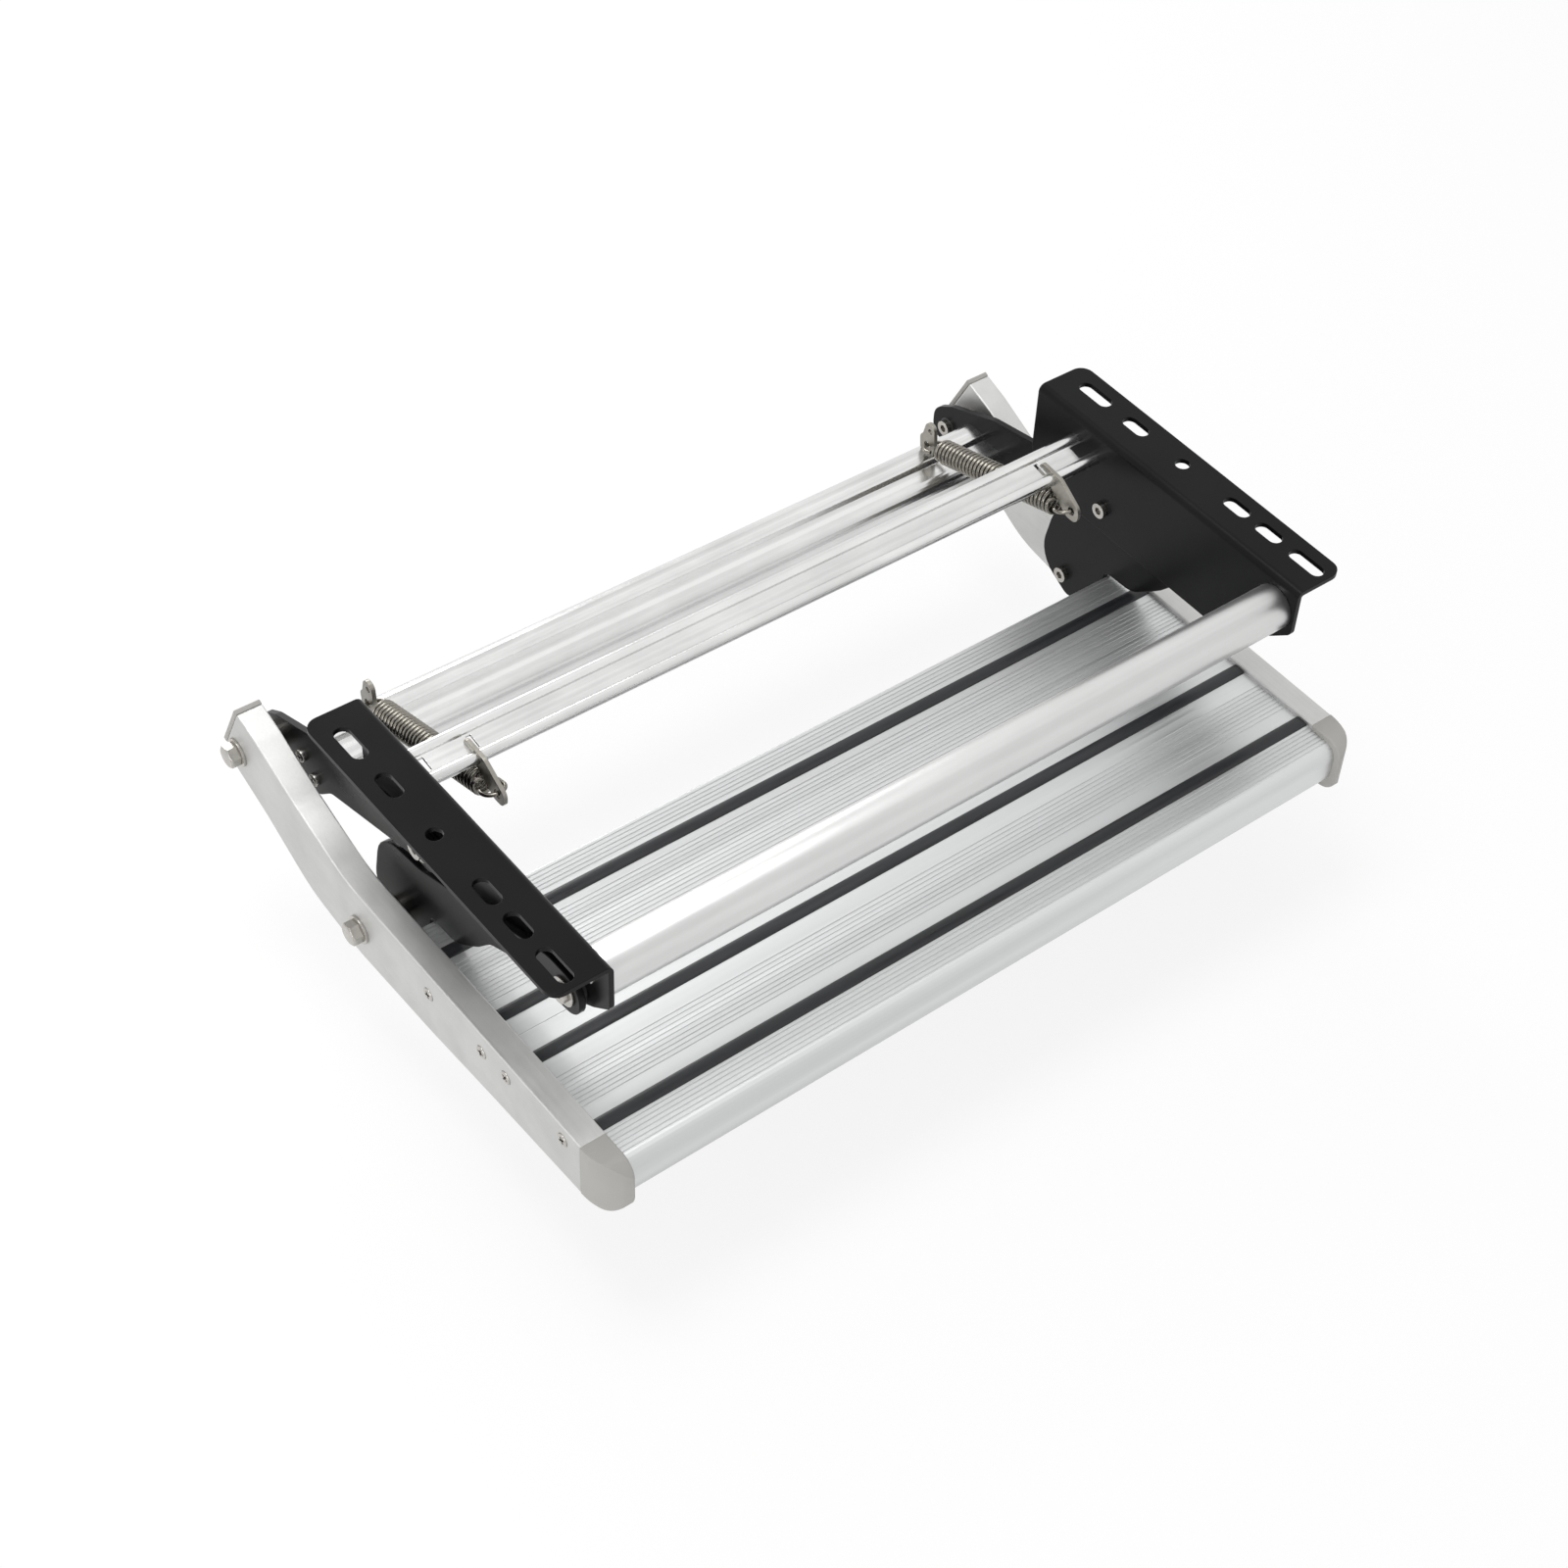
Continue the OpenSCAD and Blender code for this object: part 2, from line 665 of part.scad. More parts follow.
module tread_plank_front() {
    w = plank_wall;
    color("#c6c8c8") difference() {
        along_x(-arm_in, arm_in) difference() {
            plank_section([
                [-tread_front, tread_top, nose_r], [-plank_joint, tread_top, 0.6],
                [-plank_joint, tread_bottom, 0.6], [-tread_front, tread_bottom, nose_r]],
                [-plank_joint - w / 2, front_screws[0].x, -96, front_screws[1].x,
                 -tread_front + nose_r + w / 2],
                front_screws, [strips[2], strips[3]]);
            ridges(strips[2] - strip_w / 2 - 12, strips[3] + strip_w / 2 + 9);
            ridges(strips[3] - strip_w / 2 - 2, -tread_front + nose_r);
        }
        both_sides() for (p = front_screws) rod(p, screw_r, arm_in - screw_l, arm_in + 1);
    }
}

// Hexagon bolt through the arm, its shank ending at x = to
module arm_bolt(p, to) {
    face = arm_out + washer_t;
    rod(p, bolt_r, to, face + 0.1);
    chamfer_r = hex_af * 0.475;
    translate([face, p.x, p.y]) rotate([0, 90, 0]) intersection() {
        rotate(15) cylinder(h = hex_h, r = hex_af / 2 / cos(30), $fn = 6);
        cylinder(h = hex_h, r1 = chamfer_r + hex_h * sqrt(3), r2 = chamfer_r, $fn = 48);
    }
}

module spacer(p, from) {
    difference() {
        rod(p, bolt_d, from, arm_in);
        rod(p, bore_r, from - 1, arm_in + 1);
    }
}

module link_bush() {
    difference() {
        rod(arm_pivot, bush_r, link_in - side_play, link_out + side_play);
        rod(arm_pivot, bore_r, link_in - 1, link_out + 1);
    }
}

// Spring centre line in its own axes: a along the spring, b along X, c square to both.
// The second half is the first turned over about b.
coil_r = (spring_d - wire_d) / 2;
coil_l = spring_l - 2 * hook_l;
pitch = coil_l / turns;
hook_rise = 4.5;
loop_at = spring_l / 2 - coil_r;
hook_side = -cos(turns * 180);
steps = 8;
loop_steps = 7;
half_line = concat(
    [for (i = [0:turns * steps / 2 - 1]) let (q = i * 360 / steps + 180 / steps * (turns * steps % 2))
        [pitch * q / 360, coil_r * cos(q), coil_r * sin(q)]],
    [for (i = [0:4]) let (t = i / 4, q = turns * 180 + 180 * t)
        [coil_l / 2 + pitch / 2 * t + (hook_rise - pitch / 2) * t * t,
         coil_r * cos(q), coil_r * sin(q) * (1 - t)]],
    [for (i = [0:loop_steps]) let (q = i * 205 / loop_steps)
        [loop_at + coil_r * sin(q), hook_side * coil_r * cos(q), 0]]);
tip = half_line[len(half_line) - 1];
tip_run = unit(tip - half_line[len(half_line) - 2]);
half_full = concat(half_line, [tip + tip_run * wire_d]);
spring_line = concat(
    [for (i = [len(half_full) - 1:-1:1]) let (p = half_full[i]) [-p[0], p[1], -p[2]]], half_full);
line_n = len(spring_line);
wire_gap = min([for (i = [0:line_n - 1]) for (j = [i + 6:1:line_n - 1])
    norm(spring_line[i] - spring_line[j])]) - wire_d;
echo(wire_gap = wire_gap, rings = line_n);

function inner(p) = p - [max(-loop_at, min(loop_at, p[0])), 0, 0];
function run_at(i) =
    unit(spring_line[min(i + 1, line_n - 1)] - spring_line[max(i - 1, 0)]);
function ring_at(i) =
    let (t = run_at(i), side = unit(cross(t, inner(spring_line[i]))), up = cross(side, t))
    [for (k = [0:5]) spring_line[i] + wire_d / 2 * (cos(60 * k) * up + sin(60 * k) * side)];

module spring(x) {
    middle = (hook_front + hook_rear) / 2;
    points = flat([for (i = [0:line_n - 1]) ring_at(i)]);
    sides = flat([for (i = [0:line_n - 2]) flat([for (k = [0:5])
        let (a = 6 * i + k, b = 6 * i + (k + 1) % 6) [[a, b, b + 6], [a, b + 6, a + 6]]])]);
    ends = flat([for (k = [1:4]) let (z = 6 * (line_n - 1)) [[0, k + 1, k], [z, z + k, z + k + 1]]]);
    color("#b3aa9a") translate([x, middle.x, middle.y])
        rotate([heading(hook_rear - hook_front), 0, 0]) multmatrix([
            [0, 1, 0, 0], [1, 0, 0, 0], [0, 0, 1, 0], [0, 0, 0, 1]])
            polyhedron(points = points, faces = concat(sides, ends));
}

left() bracket();  // bracket_left
bracket();  // bracket_right
front_tube();
rear_crossbar();
left() spring_hanger();  // spring_hanger_left
spring_hanger();  // spring_hanger_right
color("silver") both_sides() pan_screw(tube_axis, web_out);  // front_tube_screws
color("silver") both_sides() for (p = [rod_rear, rod_front]) pan_screw(p, web_out);  // crossbar_screws
color("silver") both_sides() frame_bolt(rear_pivot);  // rear_pivot_bolts
color("#303030") both_sides() frame_bush(rear_pivot);  // rear_pivot_bushes
color("silver") both_sides() washer(rear_pivot, link_out + side_play);  // rear_pivot_washers
color("silver") both_sides() ring_nut(rear_pivot, web_in);  // rear_pivot_nuts
color("silver") both_sides() frame_bolt(front_pivot);  // front_pivot_bolts
color("#303030") both_sides() frame_bush(front_pivot);  // front_pivot_bushes
color("silver") both_sides() washer(front_pivot, link_out + side_play);  // front_pivot_washers
color("silver") both_sides() ring_nut(front_pivot, web_in);  // front_pivot_nuts
left() rear_link();  // rear_link_left
rear_link();  // rear_link_right
tie_bar();
color("silver") both_sides() for (p = tie_screws) pan_screw(p, link_out);  // tie_bar_screws
left() spring_eye();  // spring_eye_left
spring_eye();  // spring_eye_right
left() front_link();  // front_link_left
front_link();  // front_link_right
color("silver") both_sides() front_link_pin();  // front_link_pins
left() side_arm();  // side_arm_left
side_arm();  // side_arm_right
tread_plank_rear();
tread_plank_front();
grip_strip(strips[0]);  // grip_strip_rear
grip_strip(strips[1]);  // grip_strip_middle_rear
grip_strip(strips[2]);  // grip_strip_middle_front
grip_strip(strips[3]);  // grip_strip_front
left() front_end_cap();  // front_end_cap_left
front_end_cap();  // front_end_cap_right
left() rear_end_cap();  // rear_end_cap_left
rear_end_cap();  // rear_end_cap_right
color("silver") both_sides() for (p = concat(rear_screws, front_screws)) tread_screw(p);  // tread_screws
color("silver") both_sides() arm_bolt(arm_pivot, link_in - side_play);  // link_bolts
color("silver") both_sides() washer(arm_pivot, arm_out);  // link_bolt_washers
color("silver") both_sides() spacer(arm_pivot, link_out + side_play);  // link_bolt_spacers
color("#303030") both_sides() link_bush();  // link_bolt_bushes
color("silver") both_sides() ring_nut(arm_pivot, link_in - side_play);  // link_bolt_nuts
color("silver") both_sides() arm_bolt(support_pivot, link_out + open_gap);  // support_bolts
color("silver") both_sides() washer(support_pivot, arm_out);  // support_bolt_washers
color("silver") both_sides() spacer(support_pivot, link_out + open_gap);  // support_bolt_spacers
spring(-spring_x);  // spring_left
spring(spring_x);  // spring_right
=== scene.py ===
import json
import math

import bmesh
import bpy
from bpy.props import FloatProperty, FloatVectorProperty, IntProperty, PointerProperty
from mathutils import Matrix, Vector

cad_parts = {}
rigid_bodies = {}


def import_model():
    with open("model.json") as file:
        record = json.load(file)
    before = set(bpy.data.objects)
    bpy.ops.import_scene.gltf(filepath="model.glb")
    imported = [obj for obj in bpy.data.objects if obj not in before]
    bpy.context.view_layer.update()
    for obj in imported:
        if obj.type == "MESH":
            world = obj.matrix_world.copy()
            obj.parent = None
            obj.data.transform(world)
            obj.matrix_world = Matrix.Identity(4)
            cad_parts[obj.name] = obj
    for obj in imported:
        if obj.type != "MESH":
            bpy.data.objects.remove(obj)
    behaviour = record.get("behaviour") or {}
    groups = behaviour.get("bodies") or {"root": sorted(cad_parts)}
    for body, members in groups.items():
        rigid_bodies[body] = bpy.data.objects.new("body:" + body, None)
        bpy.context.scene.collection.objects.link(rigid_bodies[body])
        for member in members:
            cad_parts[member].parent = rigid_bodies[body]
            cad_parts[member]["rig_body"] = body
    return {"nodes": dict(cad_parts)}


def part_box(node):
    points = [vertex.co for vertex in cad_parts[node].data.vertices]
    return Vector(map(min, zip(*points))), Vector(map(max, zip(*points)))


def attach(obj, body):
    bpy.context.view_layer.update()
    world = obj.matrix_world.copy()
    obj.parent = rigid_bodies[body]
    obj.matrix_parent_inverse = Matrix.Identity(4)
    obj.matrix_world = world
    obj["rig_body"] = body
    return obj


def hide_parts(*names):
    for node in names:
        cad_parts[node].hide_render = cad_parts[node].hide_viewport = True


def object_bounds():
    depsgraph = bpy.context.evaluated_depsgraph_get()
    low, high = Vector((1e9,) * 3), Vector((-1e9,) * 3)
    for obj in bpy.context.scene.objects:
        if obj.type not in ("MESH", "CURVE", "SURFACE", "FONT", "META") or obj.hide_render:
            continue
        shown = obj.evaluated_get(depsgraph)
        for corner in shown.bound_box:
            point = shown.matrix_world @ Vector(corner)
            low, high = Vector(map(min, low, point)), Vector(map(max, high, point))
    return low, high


bl_info = {
    "name": "Caravan pull out step",
    "version": (1, 0, 0),
    "blender": (4, 5, 0),
    "location": "3D View > Sidebar > Step",
    "description": "Dresses a caravan pull out step in its finishes, with springs and fasteners",
    "category": "Add Mesh",
}

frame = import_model()
NODES = frame["nodes"]
CAD_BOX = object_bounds()
MM = 0.001

# Camera at the picture's angle: width, centre and focal length of the picture in pixels, place in
# metres, turn as rows of a matrix
PICTURE_WIDTH = 1600
PICTURE_CENTRE = (1083.8, 835.71)
FOCAL_PIXELS = 2900.64
CAMERA_PLACE = (-0.720025, -0.843604, 1.038035)
CAMERA_TURN = ((0.750217, 0.423893, -0.507433),
               (-0.653041, 0.595166, -0.468310),
               (0.103494, 0.682709, 0.723324))

# (Y, Z) in millimetres of the holes through the arms, and the room kept clear round each
ARM_HOLES = ((184, -90), (67, -126), (0, -114.5), (-49, -112.5), (-71, -110.5), (-121, -108.5))
HOLE_CLEAR = 6

# (Y, Z) in millimetres of the holes that the springs hook into, and how far each hook turns
HOOK_FRONT = (29.2136, -29.424)
HOOK_REAR = (157, -68)
HOOK_TURN = math.radians(205)

# Points of the springs' centre line: for each turn, for the rise into the hook and for the hook,
# and the roundness of the wire
COIL_STEPS = 20
RISE_STEPS = 10
LOOP_STEPS = 16
WIRE_RESOLUTION = 4

FASTENERS = ("rear_pivot_bolts", "rear_pivot_washers", "rear_pivot_nuts", "front_pivot_bolts",
             "front_pivot_washers", "front_pivot_nuts", "front_link_pins", "link_bolts",
             "link_bolt_washers", "link_bolt_spacers", "link_bolt_nuts", "support_bolts",
             "support_bolt_washers", "support_bolt_spacers")

BUSHES = ("rear_pivot_bushes", "front_pivot_bushes", "link_bolt_bushes")

STRIPS = ("grip_strip_rear", "grip_strip_middle_rear", "grip_strip_middle_front",
          "grip_strip_front")

# Cross-recess screws: (Y, Z) of each pair in millimetres, and whether their heads lie in
# countersinks, then the screws' sizes, and how far the crosses of the first pair are turned, and
# those of each next pair from the last, in radians
SCREWS = {"tread_screws": (ARM_HOLES[2:], True),
          "front_tube_screws": (((-104, -20),), False),
          "crossbar_screws": (((66, -16), (48, -19)), False),
          "tie_bar_screws": (((156, -82.5), (144, -91)), False)}
SHANK_RADIUS = 1.95 * MM
SHANK_LENGTH = 20 * MM
PAN_HEIGHT = 2.2 * MM
PAN_DOME = 1.1 * MM
DOME_SEGMENTS = 5
FIRST_TURN = 0.4
NEXT_TURN = 1.1

# Sides of the tube, of the screws' heads and of their shanks, and segments of small roundings
TUBE_SIDES = 128
HEAD_SIDES = 48
SHANK_SIDES = 24
SMALL_SEGMENTS = 2

# Points nearer than this are made one, on copies of CAD nodes and on the springs' wire
MERGE = 0.01 * MM
WIRE_MERGE = 0.005 * MM

# How far an edge may lie from a plane and still be on it, how far the outward part of a wall's
# normal may go, and how near to 1 that of an end face is
ON_PLANE = 0.02 * MM
WALL_LEAN = 0.2
END_FACING = 0.99

# Angles between faces: those that count as flat, edges to round, and edges that stay sharp
FLAT = math.radians(0.5)
CREASE = math.radians(30)
HEAD_CREASE = math.radians(40)
SHARP = math.radians(35)
WIRE_SHARP = math.radians(50)

# Stage in metres: size of the floor and how much of it shows as plain white, then name, place,
# size and power setting of each lamp
WHITE = (1, 1, 1, 1)
FLOOR_SIZE = 12
FLOOR_GLOW = 0.8
LAMPS = (("over_step", (-0.3, 0.35, 1.9), 1.0, "key"),
         ("behind_step", (0.3, 1.9, 0.7), 0.8, "back"),
         ("near_side", (-1.8, -0.9, 0.6), 1.0, "side"))

# Camera: width of its sensor in millimetres, and how near and far it sees in metres
SENSOR_WIDTH = 36
CLIP_NEAR = 0.05
CLIP_FAR = 50


def named(*kinds):
    """Names of left and right nodes of each kind."""
    return [kind + side for kind in kinds for side in ("_left", "_right")]


# Finishes


class Finish:
    """A material with one shader, and helpers that add patterns on object coordinates."""

    def __init__(self, name, colour, metallic, roughness, **sockets):
        self.material = bpy.data.materials.new(name)
        self.material.use_nodes = True
        self.tree = self.material.node_tree
        self.shader = self.tree.nodes["Principled BSDF"]
        self.set("Base Color", (*colour, 1))
        self.set("Metallic", metallic)
        self.set("Roughness", roughness)
        for socket, value in sockets.items():
            self.set(socket.replace("_", " "), value)
        self.place = self.tree.nodes.new("ShaderNodeTexCoord").outputs["Object"]
        self.material.diffuse_color = (*colour, 1)

    def set(self, socket, value):
        self.shader.inputs[socket].default_value = value

    def node(self, kind, **settings):
        made = self.tree.nodes.new(kind)
        for key, value in settings.items():
            setattr(made, key, value)
        return made

    def link(self, output, socket):
        self.tree.links.new(output, socket)

    def stretched(self, scale):
        """Object coordinates times a scale along each axis."""
        mapping = self.node("ShaderNodeMapping")
        mapping.inputs["Scale"].default_value = scale
        self.link(self.place, mapping.inputs["Vector"])
        return mapping.outputs["Vector"]

    def noise(self, scale, detail=3.0, rough=0.5):
        made = self.node("ShaderNodeTexNoise")
        made.inputs["Scale"].default_value = 1
        made.inputs["Detail"].default_value = detail
        made.inputs["Roughness"].default_value = rough
        self.link(self.stretched(scale), made.inputs["Vector"])
        return made.outputs["Fac"]

    def between(self, value, low, high, start=0.3, end=0.7):
        """Value from start to end mapped to low to high."""
        made = self.node("ShaderNodeMapRange")
        numbers = {"From Min": start, "From Max": end, "To Min": low, "To Max": high}
        for socket, number in numbers.items():
            made.inputs[socket].default_value = number
        self.link(value, made.inputs["Value"])
        return made.outputs["Result"]

    def colours(self, value, *stops):
        """Base colour from a ramp of (position, colour) driven by value."""
        node = self.node("ShaderNodeValToRGB")
        ramp = node.color_ramp
        while len(ramp.elements) < len(stops):
            ramp.elements.new(0.5)
        for element, (position, colour) in zip(ramp.elements, stops):
            element.position = position
            element.color = (*colour, 1)
        self.link(value, node.inputs["Fac"])
        self.link(node.outputs["Color"], self.shader.inputs["Base Color"])

    def roughness(self, value, low, high):
        self.link(self.between(value, low, high), self.shader.inputs["Roughness"])

    def mixed(self, a, b, share=0.5):
        made = self.node("ShaderNodeMix", data_type="FLOAT")
        made.inputs["Factor"].default_value = share
        self.link(a, made.inputs["A"])
        self.link(b, made.inputs["B"])
        return made.outputs["Result"]

    def relief(self, value, depth, edge=0.0):
        """Bump of a depth in metres, over edges softened by a radius in metres."""
        bump = self.node("ShaderNodeBump")
        bump.inputs["Strength"].default_value = 1
        bump.inputs["Distance"].default_value = depth
        self.link(value, bump.inputs["Height"])
        if edge:
            bevel = self.node("ShaderNodeBevel", samples=4)
            bevel.inputs["Radius"].default_value = edge
            self.link(bevel.outputs["Normal"], bump.inputs["Normal"])
        self.link(bump.outputs["Normal"], self.shader.inputs["Normal"])


def shade(colour, factor):
    """A colour made lighter or darker."""
    return tuple(min(1.0, c * factor) for c in colour)


def black_paint(tint):
    """Satin black powder coat: fine orange peel, a few duller patches."""
    made = Finish("black_painted_steel", tint, metallic=0, roughness=0.3,
                  Specular_IOR_Level=0.11)
    peel = made.noise((700, 700, 700), detail=2)
    patches = made.noise((14, 14, 14), detail=3)
    made.colours(patches, (0.3, shade(tint, 0.8)), (0.7, shade(tint, 1.25)))
    made.roughness(patches, low=0.27, high=0.32)
    made.relief(peel, depth=0.03 * MM, edge=0.6 * MM)
    return made.material


def drawn_aluminium(name, tint, dark, light, low, high):
    """Extruded bars: painted reflection bands along the bar in the colour, mixed with soft cloudy
    handling marks, and draw lines along the bar.
    """
    made = Finish(name, tint, metallic=1, roughness=high)
    lines = made.noise((3, 900, 900), detail=2, rough=0.6)
    # wide: bands along the bar that paint reflections into the colour
    wide = made.noise((0.5, 130, 130), detail=2)
    clouds = made.noise((18, 60, 60), detail=4, rough=0.6)
    # Painted reflection: the colour runs darker and lighter in bands along the bar by the dark and
    # light factors, with the handling marks mixed in
    made.colours(made.mixed(wide, clouds, share=0.3),
                 (0.35, shade(tint, dark)), (0.62, shade(tint, light)))
    made.roughness(made.mixed(lines, clouds, share=0.7), low, high)
    made.relief(lines, depth=0.001 * MM, edge=0.4 * MM)
    return made.material


def anodised_tread(tint):
    """Satin anodised planks: even matt sheen with faint extrusion lines along X."""
    made = Finish("anodised_planks", tint, metallic=1, roughness=0.42)
    lines = made.noise((4, 1100, 1100), detail=3)
    wide = made.noise((1.5, 90, 90), detail=2)
    made.colours(wide, (0.35, shade(tint, 0.93)), (0.65, shade(tint, 1.05)))
    made.roughness(lines, low=0.36, high=0.48)
    made.relief(lines, depth=0.02 * MM, edge=0.3 * MM)
    return made.material


def anodised_arm(tint):
    """Satin anodised arms: brushed along the arm, which runs in Y."""
    made = Finish("anodised_arms", tint, metallic=1, roughness=0.52)
    lines = made.noise((1300, 6, 1300), detail=3)
    clouds = made.noise((30, 30, 30), detail=4, rough=0.6)
    made.colours(clouds, (0.35, shade(tint, 0.94)), (0.65, shade(tint, 1.04)))
    made.roughness(lines, low=0.46, high=0.58)
    made.relief(lines, depth=0.01 * MM, edge=0.8 * MM)
    return made.material


def black_rubber(tint):
    """Soft black strip with a fine skin grain and a little dust."""
    made = Finish("black_rubber", tint, metallic=0, roughness=0.4, Specular_IOR_Level=0.4)
    grain = made.noise((1500, 1500, 1500), detail=2)
    dust = made.noise((20, 220, 220), detail=4, rough=0.6)
    made.colours(dust, (0.35, shade(tint, 0.8)), (0.75, shade(tint, 1.6)))
    made.roughness(dust, low=0.26, high=0.38)
    made.relief(grain, depth=0.03 * MM, edge=0.4 * MM)
    return made.material


def grey_plastic(tint):
    """Moulded warm grey caps with a fine spark-eroded skin."""
    made = Finish("grey_plastic", tint, metallic=0, roughness=0.48, Specular_IOR_Level=0.45)
    skin = made.noise((1800, 1800, 1800), detail=2)
    flow = made.noise((26, 26, 26), detail=3)
    made.colours(flow, (0.35, shade(tint, 0.95)), (0.65, shade(tint, 1.05)))
    made.roughness(flow, low=0.42, high=0.54)
    made.relief(skin, depth=0.03 * MM, edge=0.8 * MM)
    return made.material


def bush_plastic(tint):
    """Black bearing plastic of the bushes."""
    made = Finish("bush_plastic", tint, metallic=0, roughness=0.5)
    turning = made.noise((700, 200, 200), detail=2)
    made.colours(turning, (0.3, shade(tint, 0.8)), (0.7, shade(tint, 1.3)))
    made.roughness(turning, low=0.42, high=0.6)
    made.relief(turning, depth=0.03 * MM, edge=0.3 * MM)
    return made.material


def stainless(name, tint, low, high, scale):
    """Stainless steel with fine scratches, stretched by the given scale."""
    made = Finish(name, tint, metallic=1, roughness=0.3)
    scratches = made.noise(scale, detail=4, rough=0.6)
    stain = made.noise((90, 90, 90), detail=4, rough=0.65)
    made.colours(stain, (0.3, shade(tint, 0.78)), (0.7, shade(tint, 1.08)))
    made.roughness(made.mixed(scratches, stain), low, high)
    made.relief(scratches, depth=0.02 * MM, edge=0.3 * MM)
    return made.material


# Modelling helpers


def deselect_all():
    """Leaves edit mode and deselects everything, the CAD nodes too."""
    if bpy.context.object and bpy.context.object.mode != "OBJECT":
        bpy.ops.object.mode_set(mode="OBJECT")
    bpy.ops.object.select_all(action="DESELECT")


def only(piece):
    """Makes one piece active and the only one selected."""
    deselect_all()
    piece.hide_set(False)
    piece.select_set(True)
    bpy.context.view_layer.objects.active = piece


def finished(piece, name, body, material, replaced=()):
    """Names a finished piece, gives it its finish and lets it ride on its body."""
    piece.name = name
    piece.data.name = name
    piece.data.materials.clear()
    piece.data.materials.append(material)
    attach(piece, body)
    if replaced:
        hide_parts(*replaced)
    return piece


def merged_copy(node, name):
    """A copy of a CAD node with its doubles merged and its flat faces joined."""
    piece = bpy.data.objects.new(name, NODES[node].data.copy())
    bpy.context.scene.collection.objects.link(piece)
    only(piece)
    bpy.ops.object.mode_set(mode="EDIT")
    bpy.ops.mesh.select_all(action="SELECT")
    bpy.ops.mesh.remove_doubles(threshold=MERGE)
    bpy.ops.mesh.dissolve_limited(angle_limit=FLAT, delimit={"NORMAL"})
    bpy.ops.object.mode_set(mode="OBJECT")
    if piece.data.has_custom_normals:
        bpy.ops.mesh.customdata_custom_splitnormals_clear()
    return piece


def smooth_shaded(piece):
    """Smooth shading over the roundings, with the large faces kept flat."""
    only(piece)
    bpy.ops.object.shade_smooth_by_angle(angle=SHARP)
    even = piece.modifiers.new("flat_faces", "WEIGHTED_NORMAL")
    even.keep_sharp = True
    bpy.ops.object.modifier_apply(modifier=even.name)


def softened(node, name, width, segments, material, angle=CREASE):
    """A copy of a CAD node with all its edges rounded."""
    piece = merged_copy(node, name)
    bevel = piece.modifiers.new("rounding", "BEVEL")
    bevel.width = width
    bevel.segments = segments
    bevel.limit_method = "ANGLE"
    bevel.angle_limit = angle
    bpy.ops.object.modifier_apply(modifier=bevel.name)
    smooth_shaded(piece)
    return finished(piece, name, NODES[node]["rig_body"], material, [node])


def round_edges(piece, chosen, width, segments):
    """Rounds the edges of a piece that the function chosen picks."""
    only(piece)
    bpy.ops.object.mode_set(mode="EDIT")
    bpy.ops.mesh.select_mode(type="EDGE")
    bpy.ops.mesh.select_all(action="DESELECT")
    mesh = bmesh.from_edit_mesh(piece.data)
    for edge in mesh.edges:
        edge.select = len(edge.link_faces) == 2 and chosen(edge)
    mesh.select_flush_mode()
    bmesh.update_edit_mesh(piece.data)
    done = bpy.ops.mesh.bevel(offset=width, segments=segments, profile=0.5, affect="EDGES",
                              clamp_overlap=True)
    if done != {"FINISHED"}:
        raise RuntimeError("No edges were rounded on " + piece.name)
    bpy.ops.object.mode_set(mode="OBJECT")


def outline_edge(edge, x):
    """Whether an edge lies on the outline of a plate at distance x from the middle."""
    near = all(abs(abs(v.co.x) - x) < ON_PLANE for v in edge.verts)
    wall = sum(abs(face.normal.x) < WALL_LEAN for face in edge.link_faces) == 1
    middle = (edge.verts[0].co + edge.verts[1].co) / 2 / MM
    clear = all(math.hypot(middle.y - y, middle.z - z) > HOLE_CLEAR for y, z in ARM_HOLES)
    return near and wall and clear


def mirrored(piece):
    """Turns a piece into its mirror image across the middle of the step."""
    only(piece)
    piece.scale.x = -1
    bpy.ops.object.transform_apply(location=True, rotation=True, scale=True)
    bpy.ops.object.mode_set(mode="EDIT")
    bpy.ops.mesh.select_all(action="SELECT")
    bpy.ops.mesh.normals_make_consistent(inside=False)
    bpy.ops.object.mode_set(mode="OBJECT")


def dress(nodes, material):
    """Gives CAD nodes a finish."""
    for name in nodes:
        slots = NODES[name].data.materials
        slots.clear()
        slots.append(material)


# Settings


class StepFinishes(bpy.types.PropertyGroup):
    """Colours of the finishes."""

    paint: FloatVectorProperty(name="Black paint", description="Colour of the painted steel",
                               subtype="COLOR", default=(0.006, 0.006, 0.0065), min=0, max=1)
    bar: FloatVectorProperty(name="Bars", description="Colour of the bright aluminium bars",
                             subtype="COLOR", default=(0.68, 0.68, 0.675), min=0, max=1)
    plank: FloatVectorProperty(name="Tread", description="Colour of the anodised tread planks",
                               subtype="COLOR", default=(0.64, 0.65, 0.65), min=0, max=1)
    arm: FloatVectorProperty(name="Arms", description="Colour of the anodised side arms",
                             subtype="COLOR", default=(0.60, 0.60, 0.59), min=0, max=1)
    rubber: FloatVectorProperty(name="Rubber", description="Colour of the rubber strips",
                                subtype="COLOR", default=(0.016, 0.017, 0.019), min=0, max=1)
    cap: FloatVectorProperty(name="Caps", description="Colour of the grey plastic caps",
                             subtype="COLOR", default=(0.40, 0.39, 0.37), min=0, max=1)
    fastener: FloatVectorProperty(name="Fasteners", description="Colour of bolts and screws",
                                  subtype="COLOR", default=(0.50, 0.48, 0.45), min=0, max=1)
    plate: FloatVectorProperty(name="Spring plates", description="Colour of hangers and eye plates",
                               subtype="COLOR", default=(0.34, 0.325, 0.29), min=0, max=1)
    wire: FloatVectorProperty(name="Spring wire", description="Colour of the spring wire",
                              subtype="COLOR", default=(0.26, 0.245, 0.215), min=0, max=1)
    bush: FloatVectorProperty(name="Bushes", description="Colour of the plastic bushes",
                              subtype="COLOR", default=(0.03, 0.03, 0.03), min=0, max=1)


